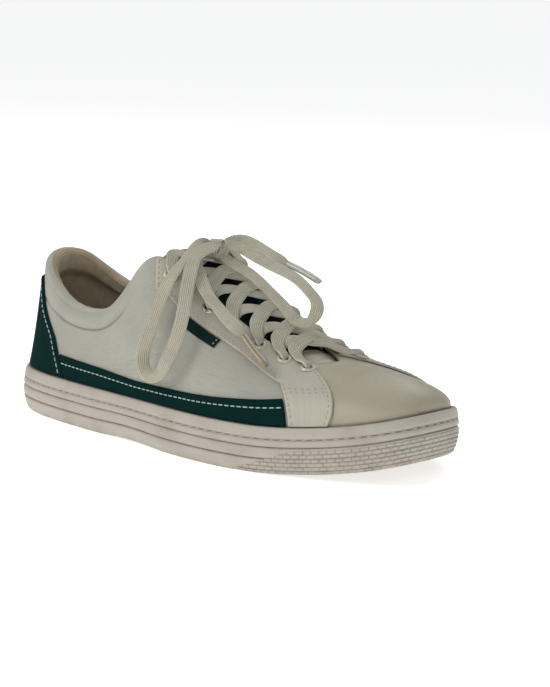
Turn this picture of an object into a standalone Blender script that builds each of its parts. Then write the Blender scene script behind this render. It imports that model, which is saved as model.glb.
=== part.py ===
"""A low canvas sneaker, the right shoe of its pair, empty and unbent on its cupsole.

Metres. +Z is up, +X points to the toe and +Y to the medial side. The origin is on the ground under the
middle of the sole's box. Every curved piece is read from two functions: outline(), the sole seen from
above, and surface(), the outside of the upper. A place on the upper is a ring share (0 at the back of
the heel, along the lateral side to 0.5 at the toe, back along the medial side to 1) and a rise share
(0 at the feather edge inside the cup, 1 at the edge of the collar and throat).
"""

import math

import bmesh
import bpy
import numpy as np
from mathutils import Matrix, Vector

# Sole
LENGTH = 0.280
BALL_WIDTH = 0.104
TOE_OFFSET = 0.008
SIDE_HEEL = 0.0239
SIDE_TOE = 0.0232
TOE_SPRING = 0.0115
SPRING_RUN = 0.080
ARCH_RISE = 0.0012
TUCK = 0.0036
LIP = 0.0044
FLOOR_HEEL = 0.0140
FLOOR_BALL = 0.0095
LATTICE_DEPTH = 0.0008
LUG_GROOVE_WIDTH = 0.0026
LUG_GROOVE_DEPTH = 0.0014
LUG_MARGIN = 0.012
LUG_PITCH = 0.0095

# Upper
HEEL_HEIGHT = 0.0845
COLLAR_WIDTH = 0.066
WALL = 0.0020
PAD = 0.0052
PUFF = 0.0018
BELLY = 0.0030
SEAM_RISE = 0.80
CUP_RISE = 0.10

# Pieces on and in the upper
OVERLAY = 0.0011
LABEL_THICKNESS = 0.0006
COUNTER_TOP = 0.0740
EYESTAY_WIDTH = 0.0258
EYESTAY_TOP_NARROWING = 0.22
EYESTAY_FLARE = 0.44
EDGE_MARGIN = 0.0012
EYELET_INSET = 0.0100
EYELET_SPLAY = 0.0058
EYELET_SPREAD = 1.14
EYELET_HOLE = 0.0026
EYELET_RIM = 0.0040
EYELET_THICKNESS = 0.0007
EYELETS = 7
LABEL_WIDTH = 0.0083
LABEL_LEAN = 0.016
INSOLE = 0.0040
TONGUE = 0.0036
TONGUE_EDGE = (0.4, 0.9)
TONGUE_CROWN = 0.0035
TONGUE_WING = 0.010
TONGUE_TOE_WING = 0.35
TONGUE_TOP = 0.017
TONGUE_TOP_SLOPE = 0.3
TONGUE_TAPER = 0.25
LACE_WIDTH = 0.0062
LACE_THICKNESS = 0.0013
LACE_LIFT = 0.0020
LACE_CROWN = 0.0012
LACE_DIVE = 0.0008
CORD_RADIUS = 0.0017
KNOT_RADIUS = 0.0055
KNOT_SHAPE = (1.15, 1.0, 0.8)

# Places along one side, as shares counted from the heel
EYESTAY_FIRST = 0.493
EYESTAY_LAST = 0.885
EYELET_FIRST = 0.525
EYELET_LAST = 0.850
LABEL_FIRST = 0.560
LABEL_LAST = 0.641
TONGUE_TOE = 0.93
TONGUE_ANKLE = 0.53
SEAM_SHARE = 0.004
PAD_FADES = 0.36
PAD_FADE_RUN = 0.09
PUFF_STARTS = 0.12

# Places at the sole's top edge, as shares of LENGTH
TAB_REAR = 0.8045
TAB_FRONT = 0.874

# The knot's place over the throat
KNOT_ALONG = 0.480
KNOT_ACROSS = -0.001
KNOT_HEIGHT = 0.0995

# Clearances
GAP = 0.0003
OVERLAY_SEAT = 0.0005
CORD_STANDOFF = 0.0010
TONGUE_CLEARANCE = 0.0014
LACE_CLEARANCE = 0.0021

# Fineness
STATIONS = 64
FINE = 1440
CORD_STEP = 0.0098
OUTER_RISES = (0, CUP_RISE, 0.22, 0.36, 0.5, 0.64, SEAM_RISE, 0.84, 0.90, 0.95, 1)
INNER_RISES = (1, 0.91, SEAM_RISE, 0.6, 0.34, CUP_RISE, 0)
EYESTAY_COLUMNS = 22
TAB_COLUMNS = 8

# Plain colours, linear
RUBBER = (0.38, 0.35, 0.31)
CANVAS = (0.45, 0.44, 0.40)
TEXTILE = (0.20, 0.17, 0.12)
GREEN = (0.006, 0.022, 0.024)
LEATHER = (0.42, 0.39, 0.30)
PAINTED_METAL = (0.50, 0.48, 0.42)
COTTON = (0.47, 0.43, 0.33)

# The sole seen from above. Columns: along as a share of LENGTH from the back of the heel, then the
# lateral and the medial half width as shares of BALL_WIDTH.
OUTLINE = (
    (0.036, 0.245, 0.226),
    (0.089, 0.333, 0.308),
    (0.179, 0.393, 0.351),
    (0.286, 0.426, 0.330),
    (0.393, 0.452, 0.308),
    (0.500, 0.483, 0.332),
    (0.607, 0.505, 0.408),
    (0.696, 0.492, 0.481),
    (0.768, 0.449, 0.510),
    (0.839, 0.386, 0.500),
    (0.911, 0.315, 0.447),
    (0.957, 0.250, 0.365),
    (0.986, 0.150, 0.250),
)

# The sole's side from the ground up. Columns: height as a share of the side's height, inset as a share
# of TUCK. The three short dips are the grooves between the ribs, the top one holds the stitches.
SIDE = (
    (0.000, 1.00),
    (0.040, 0.70),
    (0.140, 0.38),
    (0.300, 0.10),
    (0.335, 0.42),
    (0.370, 0.08),
    (0.460, 0.00),
    (0.550, 0.08),
    (0.583, 0.40),
    (0.616, 0.10),
    (0.720, 0.14),
    (0.750, 0.46),
    (0.780, 0.22),
    (0.970, 0.45),
    (1.000, 0.68),
)

# The edge of the opening, collar first and then throat. Columns: ring share of its side, along as a
# share of LENGTH, half width as a share of COLLAR_WIDTH, height as a share of HEEL_HEIGHT.
OPENING = (
    (0.000, 0.043, 0.000, 1.000),
    (0.080, 0.062, 0.235, 0.964),
    (0.140, 0.096, 0.348, 0.882),
    (0.215, 0.168, 0.439, 0.763),
    (0.300, 0.257, 0.495, 0.722),
    (0.370, 0.325, 0.500, 0.800),
    (0.420, 0.368, 0.477, 0.970),
    (0.470, 0.400, 0.432, 1.102),
    (0.510, 0.428, 0.362, 1.122),
    (0.550, 0.459, 0.297, 1.050),
    (0.620, 0.529, 0.276, 0.925),
    (0.690, 0.600, 0.262, 0.802),
    (0.760, 0.664, 0.246, 0.700),
    (0.840, 0.716, 0.226, 0.628),
    (0.920, 0.752, 0.160, 0.592),
    (1.000, 0.771, 0.000, 0.596),
)

# How a rib of the last runs from the feather edge to the opening. Columns: ring share of its side, rise
# of the first handle as a share of the rib's height, its push outward as a share of BELLY, reach of
# the second handle as a share of the rib's run, its push outward as a share of BELLY, its drop.
RIBS = (
    (0.000, 0.25, -1.2, 0.15, 0.0, 0.33),
    (0.140, 0.28, -0.8, 0.22, 0.1, 0.33),
    (0.300, 0.32, 0.2, 0.45, 0.7, 0.33),
    (0.450, 0.39, 0.6, 0.50, 0.6, 0.24),
    (0.600, 0.37, 0.6, 0.45, 0.0, 0.30),
    (0.750, 0.41, 0.6, 0.45, 0.0, 0.32),
    (0.850, 0.46, 0.7, 0.48, 0.0, 0.26),
    (0.920, 0.55, 0.8, 0.50, 0.0, 0.06),
    (1.000, 0.76, 0.9, 0.55, 0.0, -0.10),
)

# One lace bar over the throat. Columns: how far it has climbed as a share of the eyelets' pitch, its
# place across as a share of the half opening, how much of its lift over the crossing bar it has.
LACE_BAR = (
    (0.17, 0.82, 0),
    (0.42, 0.40, 1),
    (0.62, 0.00, 1),
    (0.80, -0.45, 0),
)

# Top edge of the green band over the sole. Columns: along as a share of LENGTH, height over the sole's
# top edge as a share of SIDE_HEEL.
BAND_TOP = (
    (0.19, 0.52),
    (0.32, 0.47),
    (0.43, 0.39),
    (0.54, 0.40),
    (0.64, 0.44),
    (0.73, 0.50),
    (0.80, 0.55),
)

# The free lace's routes, chosen by hand. Each is the direction in which it leaves the knot, the one in
# which a loop comes back, and its places as offsets from the knot's middle. Columns: along the shoe to
# the toe, across it to the medial side and up, in metres.
LACE_ROUTES = {
    "lace_loop_lateral": (
        (-1, -9, 4.5),
        (7, -6, 3),
        (
            (-0.0005, -0.0180, -0.0015),
            (0.0045, -0.0330, -0.0085),
            (0.0040, -0.0400, -0.0170),
            (0.0030, -0.0455, -0.0295),
            (0.0010, -0.0490, -0.0420),
            (-0.0020, -0.0505, -0.0530),
            (0.0000, -0.0515, -0.0600),
            (0.0070, -0.0520, -0.0590),
            (0.0155, -0.0515, -0.0525),
            (0.0195, -0.0490, -0.0440),
            (0.0195, -0.0445, -0.0350),
            (0.0180, -0.0400, -0.0255),
            (0.0150, -0.0350, -0.0160),
            (0.0110, -0.0280, -0.0060),
            (0.0060, -0.0140, 0.0010),
        ),
    ),
    "lace_loop_medial": (
        (9, 0.5, 3),
        (8, 1, -5),
        (
            (0.0195, 0.0060, -0.0010),
            (0.0330, 0.0090, -0.0065),
            (0.0495, 0.0090, -0.0115),
            (0.0635, 0.0060, -0.0185),
            (0.0710, 0.0020, -0.0260),
            (0.0680, -0.0020, -0.0315),
            (0.0590, 0.0000, -0.0300),
            (0.0475, 0.0030, -0.0250),
            (0.0335, 0.0050, -0.0185),
            (0.0205, 0.0050, -0.0115),
        ),
    ),
    "lace_end_lateral": (
        (0.2, -9, -1),
        None,
        (
            (0.0025, -0.0160, -0.0055),
            (0.0115, -0.0230, -0.0105),
            (0.0205, -0.0270, -0.0175),
            (0.0320, -0.0290, -0.0250),
            (0.0410, -0.0305, -0.0300),
            (0.0485, -0.0320, -0.0330),
            (0.0585, -0.0340, -0.0395),
            (0.0715, -0.0360, -0.0475),
        ),
    ),
    "lace_end_medial": (
        (6, 6, 4.5),
        None,
        (
            (0.0140, 0.0085, 0.0045),
            (0.0230, 0.0120, 0.0010),
            (0.0370, 0.0145, -0.0050),
            (0.0465, 0.0155, -0.0080),
            (0.0590, 0.0160, -0.0125),
        ),
    ),
}


def spline(knots, values, at, closed=False):
    """The cubic curve through values at knots, read at the places of at."""
    knots, values = np.asarray(knots, float), np.asarray(values, float)
    last = len(knots) - 1
    steps = np.diff(knots)
    slopes = np.diff(values, axis=0) / steps[:, None]
    matrix = np.zeros((last + 1, last + 1))
    right = np.zeros((last + 1, values.shape[1]))
    for i in range(1, last):
        matrix[i, i - 1 : i + 2] = steps[i - 1], 2 * (steps[i - 1] + steps[i]), steps[i]
        right[i] = 6 * (slopes[i] - slopes[i - 1])
    matrix[0, 0] = matrix[last, last] = 1
    if closed:
        matrix[0, last] = -1
        matrix[last, [0, 1, last - 1]] = 2 * steps[0], steps[0], steps[-1]
        matrix[last, last] = 2 * steps[-1]
        right[last] = 6 * (slopes[0] - slopes[-1])
    bend = np.linalg.solve(matrix, right)
    at = np.asarray(at, float)
    i = np.clip(np.searchsorted(knots, at, side="right") - 1, 0, last - 1)
    left, ahead, step = (
        (at - knots[i])[..., None],
        (knots[i + 1] - at)[..., None],
        steps[i][..., None],
    )
    curve = (bend[i] * ahead**3 + bend[i + 1] * left**3) / (6 * step)
    curve += (values[i] / step - bend[i] * step / 6) * ahead
    return curve + (values[i + 1] / step - bend[i + 1] * step / 6) * left


def both_sides(table):
    """A table of one side's shares as a closed one round the whole ring."""
    rows = np.array(table)
    back = rows[::-1][1:]
    knots = np.concatenate([rows[:, 0] / 2, 1 - back[:, 0] / 2])
    return knots, np.concatenate([rows[:, 1:], back[:, 1:]]), len(rows)


def ease(share):
    """0 to 1 with level ends."""
    share = np.clip(share, 0, 1)
    return share * share * (3 - 2 * share)


def outline_points():
    """The sole's outline as many fine points, its box centred on the origin."""
    lateral = [(a * LENGTH, -w * BALL_WIDTH) for a, w, _ in OUTLINE]
    medial = [(a * LENGTH, w * BALL_WIDTH) for a, _, w in OUTLINE]
    chosen = np.array([(0, 0), *lateral, (LENGTH, TOE_OFFSET), *medial[::-1], (0, 0)])
    run = np.linalg.norm(np.diff(chosen, axis=0), axis=1)
    knots = np.concatenate([[0], np.cumsum(run)])
    points = spline(knots, chosen, np.linspace(0, knots[-1], FINE + 1), closed=True)
    return points - (points.min(0) + points.max(0)) / 2


def ring_shares(points):
    """The ring share of each fine point: 0 to 0.5 on the lateral side, 0.5 to 1 on the medial."""
    run = np.linalg.norm(np.diff(points, axis=0), axis=1)
    run = np.concatenate([[0], np.cumsum(run)])
    toe = int(points[:, 0].argmax())
    half = 0.5 * run / run[toe]
    rest = 0.5 + 0.5 * (run - run[toe]) / (run[-1] - run[toe])
    return np.where(np.arange(len(run)) <= toe, half, rest)


def outward(points):
    """The outward direction at each fine point."""
    tangent = np.roll(points[:-1], -1, axis=0) - np.roll(points[:-1], 1, axis=0)
    tangent /= np.linalg.norm(tangent, axis=1)[:, None]
    normal = np.stack([tangent[:, 1], -tangent[:, 0]], axis=1)
    return np.concatenate([normal, normal[:1]])


OUTLINE_POINTS = outline_points()
OUTLINE_RING = ring_shares(OUTLINE_POINTS)
OUTLINE_OUT = outward(OUTLINE_POINTS)
OPENING_KNOTS, OPENING_ROWS, OPENING_HALF = both_sides(OPENING)
RIB_KNOTS, RIB_ROWS, _ = both_sides(RIBS)


def outline(ring, inset=0.0):
    """The outline's point at a ring share, moved in by inset, and its outward direction."""
    ring = np.mod(ring, 1.0)
    point = np.stack([np.interp(ring, OUTLINE_RING, OUTLINE_POINTS[:, k]) for k in (0, 1)], -1)
    out = np.stack([np.interp(ring, OUTLINE_RING, OUTLINE_OUT[:, k]) for k in (0, 1)], -1)
    out = out / np.linalg.norm(out, axis=-1)[..., None]
    return point - out * inset, out


def along(x):
    """How far a place is from the back of the heel, as a share of LENGTH."""
    return x / LENGTH + 0.5


def spring(x):
    """How far the toe spring lifts the sole at x."""
    start = LENGTH / 2 - SPRING_RUN
    return TOE_SPRING * np.clip((x - start) / SPRING_RUN, 0, 1) ** 2


def ground(x):
    """The height of the sole's underside: flat heel and forefoot, arch and toe lifted."""
    arch = np.clip((along(x) - 0.30) / 0.24, 0, 1)
    return spring(x) + ARCH_RISE * np.sin(math.pi * arch) ** 2


def sole_top(x):
    """The height of the sole's top edge."""
    return SIDE_HEEL + (SIDE_TOE - SIDE_HEEL) * along(x) + spring(x)


def cup_floor(x):
    """The height of the cup's floor inside the sole."""
    return FLOOR_HEEL + (FLOOR_BALL - FLOOR_HEEL) * ease((along(x) - 0.2) / 0.45) + spring(x)


def opening(ring):
    """The edge of the collar and throat at a ring share."""
    ring = np.mod(ring, 1.0)
    signed = OPENING_ROWS.copy()
    signed[:OPENING_HALF, 1] *= -1
    share = spline(OPENING_KNOTS, signed, ring, closed=True)
    x = (share[..., 0] - 0.5) * LENGTH
    shift = TOE_OFFSET * np.clip(2 * share[..., 0] - 1, 0, 1) ** 2
    return np.stack([x, share[..., 1] * COLLAR_WIDTH + shift, share[..., 2] * HEEL_HEIGHT], -1)


def last(ring, rise):
    """The outside of the upper without the collar's padding."""
    ring, rise = np.broadcast_arrays(np.asarray(ring, float), np.asarray(rise, float))
    foot, out = outline(ring, LIP + GAP)
    feather = np.concatenate([foot, (cup_floor(foot[..., 0]) + GAP)[..., None]], -1)
    base = np.concatenate([foot, (sole_top(foot[..., 0]) + GAP)[..., None]], -1)
    out = np.concatenate([out, np.zeros_like(out[..., :1])], -1)
    edge = opening(ring)
    share = spline(RIB_KNOTS, RIB_ROWS, np.mod(ring, 1.0), closed=True)
    rise_1, push_1, reach, push_2, drop = (share[..., k][..., None] for k in range(5))
    tall = (edge - base)[..., 2:] * np.array([0, 0, 1.0])
    run = (base - edge) * np.array([1.0, 1.0, 0])
    first = base + tall * rise_1 + out * push_1 * BELLY
    second = edge + run * reach + out * push_2 * BELLY - tall * drop
    t = np.clip((rise - CUP_RISE) / (1 - CUP_RISE), 0, 1)[..., None]
    curve = base * (1 - t) ** 3 + 3 * first * t * (1 - t) ** 2
    curve = curve + 3 * second * t**2 * (1 - t) + edge * t**3
    sunk = np.clip(1 - rise / CUP_RISE, 0, 1)[..., None]
    return curve + (feather - base) * sunk


def last_normal(ring, rise):
    """The outward direction of the upper's outside."""
    step = 1e-4
    rise = np.asarray(rise, float)
    low, high = np.maximum(rise - step, 0), np.minimum(rise + step, 1)
    across = last(ring + step, rise) - last(ring - step, rise)
    normal = np.cross(across, last(ring, high) - last(ring, low))
    normal[..., 2] *= np.clip(np.broadcast_to(rise, normal.shape[:-1]) / CUP_RISE - 1, 0, 1)
    return normal / np.linalg.norm(normal, axis=-1)[..., None]


def side_share(ring):
    """The ring share counted from the heel on its own side, 0 to 1."""
    ring = np.mod(ring, 1.0)
    return 2 * np.minimum(ring, 1 - ring)


def pad_fade(ring):
    """1 round the heel, falling to 0 where the collar's padding ends before the eyestay."""
    return 1 - ease((side_share(ring) - PAD_FADES) / PAD_FADE_RUN)


def padding(ring, rise):
    """How much of the collar's padding is at a place, 0 to 1."""
    full_at = SEAM_RISE + 0.45 * (1 - SEAM_RISE)
    return pad_fade(ring) * ease((rise - SEAM_RISE) / (full_at - SEAM_RISE))


def surface(ring, rise, offset=0.0):
    """A point of the upper's outside with its padding, moved out by offset."""
    ring, rise = np.broadcast_arrays(np.asarray(ring, float), np.asarray(rise, float))
    fade = ease((side_share(ring) - PUFF_STARTS) / PUFF_STARTS) * pad_fade(ring)
    swell = np.clip((rise - SEAM_RISE) / (1 - SEAM_RISE), 0, 1)
    puff = PUFF * fade * np.sin(math.pi * swell) ** 0.7
    push = np.asarray(puff + offset)[..., None]
    return last(ring, rise) + last_normal(ring, rise) * push


def wall_at(ring, rise):
    """The upper's thickness at a place."""
    return WALL + PAD * padding(ring, rise)


def rise_at_height(ring, height):
    """The rise share at which the rib at ring reaches a height."""
    shares = np.linspace(0, 1, 101)
    heights = np.maximum.accumulate(last(ring, shares)[:, 2])
    return float(np.interp(height, heights, shares))


def rise_from_edge(ring, distance):
    """The rise share that lies a distance down the rib from the opening's edge."""
    shares = np.linspace(1, 0, 101)
    points = last(ring, shares)
    run = np.concatenate([[0], np.cumsum(np.linalg.norm(np.diff(points, axis=0), axis=1))])
    return float(np.interp(distance, run, shares))


def ring_at(side, share):
    """The ring share of a share counted from the heel along one side, -1 lateral and 1 medial."""
    return share / 2 if side < 0 else 1 - share / 2


def material(name, colour, roughness, metallic=0.0):
    """A Principled material with the piece's plain colour."""
    made = bpy.data.materials.new(name)
    made.use_nodes = True
    shader = made.node_tree.nodes["Principled BSDF"]
    shader.inputs["Base Color"].default_value = (*colour, 1.0)
    shader.inputs["Roughness"].default_value = roughness
    shader.inputs["Metallic"].default_value = metallic
    return made


def add(name, points, faces, finish, smooth=True):
    """A mesh object from points and faces, its faces turned outward."""
    mesh = bpy.data.meshes.new(name)
    mesh.from_pydata([tuple(p) for p in points], [], faces)
    work = bmesh.new()
    work.from_mesh(mesh)
    bmesh.ops.recalc_face_normals(work, faces=work.faces)
    work.to_mesh(mesh)
    work.free()
    if smooth:
        mesh.shade_smooth()
        mesh.set_sharp_from_angle(angle=math.radians(40))
    placed = bpy.data.objects.new(name, mesh)
    bpy.context.collection.objects.link(placed)
    placed.data.materials.append(finish)
    return placed


def ring_faces(rows, columns, closed):
    """Quads between rows of points that each run round in a closed ring."""
    faces = []
    for i in range(rows if closed else rows - 1):
        for j in range(columns):
            a, b = i * columns + j, i * columns + (j + 1) % columns
            c, d = (((i + 1) % rows) * columns + k for k in ((j + 1) % columns, j))
            faces.append((a, b, c, d))
    return faces


def cap_faces(start, columns):
    """Quads and two end triangles across a ring, from each lateral station to its medial one."""
    faces = [(start, start + 1, start + columns - 1)]
    half = columns // 2
    for j in range(1, half - 1):
        faces.append((start + j, start + j + 1, start + columns - j - 1, start + columns - j))
    faces.append((start + half - 1, start + half, start + half + 1))
    return faces


def stacked_rings(name, rings, finish):
    """A closed solid from rings of points, one over the other, with a cap on the first and last."""
    columns = len(rings[0])
    faces = ring_faces(len(rings), columns, closed=False)
    faces += cap_faces(0, columns) + cap_faces((len(rings) - 1) * columns, columns)
    return add(name, np.concatenate(rings), faces, finish)


def level_ring(inset, height):
    """One ring of the sole's outline moved in by inset, height being a function of x."""
    rings = np.arange(STATIONS) / STATIONS
    inset = np.broadcast_to(inset, rings.shape)
    point, out = outline(rings)
    point = point - out * inset[:, None]
    return np.concatenate([point, height(point[:, 0])[:, None]], 1)


def toe_zone():
    """How far each station lies in the toe's lattice field, 0 to 1."""
    share = side_share(np.arange(STATIONS) / STATIONS)
    return ease((share - 0.74) / 0.05)


def build_sole(finish):
    """The cupsole: ribbed side, cup for the upper, flat heel and forefoot, lug grooves."""
    rings = []
    for height, inset in SIDE:
        sunk = LATTICE_DEPTH * toe_zone() if 0.0 < height <= 0.3 else 0.0

        def level(x, share=height):
            return ground(x) + (sole_top(x) - ground(x)) * share

        rings.append(level_ring(inset * TUCK + sunk, level))
    rings.append(level_ring(LIP, sole_top))
    rings.append(level_ring(LIP, cup_floor))
    sole = stacked_rings("sole", rings, finish)
    cut(sole, lug_bars())
    return sole


def lug_bars():
    """The bars that cut the grooves between the main lugs of heel and forefoot."""
    work = bmesh.new()
    for start, count in ((0.10, 6), (0.58, 7)):
        for i in range(count):
            x = (start - 0.5) * LENGTH + i * LUG_PITCH
            low, high = (edge_y(side, x) for side in (-1, 1))
            size = (LUG_GROOVE_WIDTH, high - low - 2 * LUG_MARGIN, 2 * LUG_GROOVE_DEPTH)
            centre = Matrix.Translation((x, (low + high) / 2, float(ground(x))))
            bmesh.ops.create_cube(work, size=1.0, matrix=centre @ Matrix.Diagonal((*size, 1.0)))
    return cutter("lug_bars", work)


def edge_y(side, x):
    """Where the sole's outline is at x on one side."""
    half = OUTLINE_RING <= 0.5 if side < 0 else OUTLINE_RING >= 0.5
    points = OUTLINE_POINTS[half]
    points = points[np.argsort(points[:, 0])]
    return float(np.interp(x, points[:, 0], points[:, 1]))


def cutter(name, work):
    """A hidden object that a Boolean cuts with."""
    mesh = bpy.data.meshes.new(name)
    work.to_mesh(mesh)
    work.free()
    made = bpy.data.objects.new(name, mesh)
    bpy.context.collection.objects.link(made)
    made.hide_render = True
    made.display_type = "WIRE"
    return made


def cut(target, tool):
    """Cuts the tool out of the target."""
    boolean = target.modifiers.new(tool.name, "BOOLEAN")
    boolean.operation = "DIFFERENCE"
    boolean.solver = "EXACT"
    boolean.object = tool


def build_insole(finish):
    """The insole on the cup's floor, inside the upper's wall."""
    inset = LIP + GAP + WALL + 2 * GAP
    levels = ((0.0, 0.0), (0.0, 0.75), (0.0012, 1.0))
    rings = []
    for more, share in levels:

        def level(x, share=share):
            return cup_floor(x) + GAP + INSOLE * share

        rings.append(level_ring(inset + more, level))
    return stacked_rings("insole", rings, finish)


def build_upper(finish):
    """The hollow upper: outside, rounded edge, inside and the feather edge, in one closed wall."""
    rings = np.arange(STATIONS) / STATIONS
    rows = [surface(rings, rise) for rise in OUTER_RISES]
    lining = [surface(rings, rise, -wall_at(rings, rise)) for rise in INNER_RISES]
    middle = (rows[-1] + lining[0]) / 2
    half = (rows[-1] - lining[0]) / 2
    tangent = last(rings, 1.0) - last(rings, 0.99)
    tangent /= np.linalg.norm(tangent, axis=1)[:, None]
    tangent *= np.linalg.norm(half, axis=1)[:, None]
    for angle in (60, 120):
        turn = math.radians(angle)
        rows.append(middle + half * math.cos(turn) + tangent * math.sin(turn))
    rows += lining
    faces = ring_faces(len(rows), STATIONS, closed=True)
    return add("upper", np.concatenate(rows), faces, finish)


def sheet(name, places, cells, low, high, finish):
    """A closed patch of the upper's own surface between two offsets.

    places is a grid of (ring, rise) pairs and cells says which of its squares are there.
    """
    rows, columns = places.shape[:2]
    ring, rise = places[..., 0], places[..., 1]
    top = surface(ring, rise, high).reshape(-1, 3)
    bottom = surface(ring, rise, low).reshape(-1, 3)
    count = rows * columns
    faces, edges = [], {}
    for i in range(rows - 1):
        for j in range(columns - 1):
            if not cells[i][j]:
                continue
            loop = [i * columns + j, i * columns + j + 1]
            loop += [(i + 1) * columns + j + 1, (i + 1) * columns + j]
            faces.append(tuple(loop))
            faces.append(tuple(k + count for k in loop[::-1]))
            for a, b in zip(loop, loop[1:] + loop[:1]):
                edges[(a, b)] = True
    for a, b in edges:
        if (b, a) not in edges:
            faces.append((b, a, a + count, b + count))
    points = np.concatenate([top, bottom])
    used = sorted({k for face in faces for k in face})
    number = {k: i for i, k in enumerate(used)}
    faces = [tuple(number[k] for k in face) for face in faces]
    return add(name, points[used], faces, finish)


def everywhere(places):
    """All the squares of a grid."""
    return np.ones((places.shape[0] - 1, places.shape[1] - 1), bool)


def over_sole(ring):
    """The rise share just over the sole's top edge."""
    x = last(ring, 0.2)[0]
    return rise_at_height(ring, sole_top(x) + GAP)


# The counter's front edge. Columns: height as a share of COUNTER_TOP, how far round the heel it
# reaches, as a ring share of its side.
COUNTER_EDGE = (
    (0.32, 0.243),
    (0.41, 0.231),
    (0.60, 0.203),
    (0.78, 0.158),
    (0.95, 0.125),
    (1.00, 0.112),
)


def counter_reach(height):
    """How far round its side the counter reaches at a height, as a ring share."""
    table = np.array(COUNTER_EDGE)
    return float(np.interp(height / COUNTER_TOP, table[:, 0], table[:, 1])) / 2


def build_counter(finish):
    """The heel counter, widest at the sole and narrow at its top."""
    heights = np.linspace(0, 1, 6)
    rows = []
    for share in heights:
        level = SIDE_HEEL + GAP + (COUNTER_TOP - SIDE_HEEL - GAP) * share
        reach = counter_reach(level)
        rings = np.linspace(-reach, reach, 21)
        rises = [rise_at_height(ring, level) for ring in rings]
        rows.append(np.stack([rings, rises], -1))
    places = np.array(rows)
    return sheet("heel_counter", places, everywhere(places), OVERLAY_SEAT, OVERLAY_SEAT + OVERLAY, finish)


def foot_ring(side, place):
    """The ring share at which the outline passes a share of LENGTH on one side."""
    half = OUTLINE_RING <= 0.5 if side < 0 else OUTLINE_RING >= 0.5
    points, shares = OUTLINE_POINTS[half], OUTLINE_RING[half]
    order = np.argsort(points[:, 0])
    return float(np.interp((place - 0.5) * LENGTH, points[order, 0], shares[order]))


def build_band(name, side, finish):
    """The band over the sole, from the counter to the eyestay's tab."""
    table = np.array(BAND_TOP)
    last_ring = foot_ring(side, TAB_REAR - SEAM_SHARE)
    places = []
    for part in (0.0, 0.5, 1.0):
        height = SIDE_HEEL * (1 + BAND_TOP[0][1] * part)
        first_ring = ring_at(side, 2 * counter_reach(height) + SEAM_SHARE)
        for ring in np.linspace(first_ring, last_ring, 17):
            x = last(ring, 0.3)[0]
            more = float(np.interp(along(x), table[:, 0], table[:, 1])) * SIDE_HEEL
            low, high = over_sole(ring), rise_at_height(ring, sole_top(x) + more)
            places.append((ring, low + (high - low) * part))
    places = np.array(places).reshape(3, 17, 2)
    return sheet(name, places, everywhere(places), OVERLAY_SEAT, OVERLAY_SEAT + OVERLAY, finish)


def eyelet_share(number):
    """The share along its side of an eyelet, 0 the one at the ankle."""
    part = (number / (EYELETS - 1)) ** EYELET_SPREAD
    return EYELET_FIRST + (EYELET_LAST - EYELET_FIRST) * part


def eyestay_width(share):
    """How wide the eyestay is at a share of its side."""
    narrowed = 1 - EYESTAY_TOP_NARROWING * (1 - ease((share - EYESTAY_FIRST) / 0.06))
    return EYESTAY_WIDTH * narrowed * (1 + EYESTAY_FLARE * ease((share - 0.67) / 0.11))


def leaning(top, foot, rises):
    """Places at the rises on a straight line over the surface from a top place to a foot place."""
    part = (top[1] - rises) / (top[1] - foot[1])
    return np.stack([top[0] + (foot[0] - top[0]) * part, rises], -1)


def build_eyestay(name, side, finish):
    """The leather eyestay along the throat with its tab down to the sole, holes cut."""
    shares = np.linspace(EYESTAY_FIRST, EYESTAY_LAST, EYESTAY_COLUMNS)
    tab_feet = np.linspace(foot_ring(side, TAB_REAR), foot_ring(side, TAB_FRONT), TAB_COLUMNS)
    low, strip = 6, 5
    places = np.zeros((low + strip, EYESTAY_COLUMNS, 2))
    for k, share in enumerate(shares):
        ring = ring_at(side, share)
        top = (ring, rise_from_edge(ring, EDGE_MARGIN))
        bottom = rise_from_edge(ring, eyestay_width(share))
        tab = k - (EYESTAY_COLUMNS - TAB_COLUMNS)
        foot = (tab_feet[tab], over_sole(tab_feet[tab])) if tab >= 0 else (ring, 0.0)
        rises = np.linspace(foot[1], bottom, low + 1)[:-1] if tab >= 0 else np.full(low, bottom)
        places[:, k] = leaning(top, foot, np.concatenate([rises, np.linspace(bottom, top[1], strip)]))
    cells = everywhere(places)
    cells[:low, : EYESTAY_COLUMNS - TAB_COLUMNS] = False
    made = sheet(name, places, cells, OVERLAY_SEAT, OVERLAY_SEAT + OVERLAY, finish)
    cut(made, eyelet_pins(name + "_pins", side))
    return made


def eyelet_inset(number):
    """How far an eyelet lies from the throat's edge; more at the toe, where the edge turns in."""
    return EYELET_INSET + EYELET_SPLAY * (number / (EYELETS - 1)) ** 4


def eyelet_frame(side, number):
    """The place, outward direction and direction along the throat of an eyelet."""
    ring = ring_at(side, eyelet_share(number))
    rise = rise_from_edge(ring, eyelet_inset(number))
    place, out = last(ring, rise), last_normal(ring, rise)
    ahead = last(ring + 0.001, rise) - place
    ahead -= out * (ahead @ out)
    return Vector(place), Vector(out), Vector(ahead).normalized()


def eyelet_pins(name, side):
    """The pins that cut one side's eyelet holes."""
    work = bmesh.new()
    for number in range(EYELETS):
        place, out, _ = eyelet_frame(side, number)
        turn = Vector((0, 0, 1)).rotation_difference(out).to_matrix().to_4x4()
        bmesh.ops.create_cone(
            work, cap_ends=True, segments=8, radius1=EYELET_HOLE, radius2=EYELET_HOLE,
            depth=6 * WALL, matrix=Matrix.Translation(place) @ turn,
        )
    return cutter(name, work)


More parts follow.
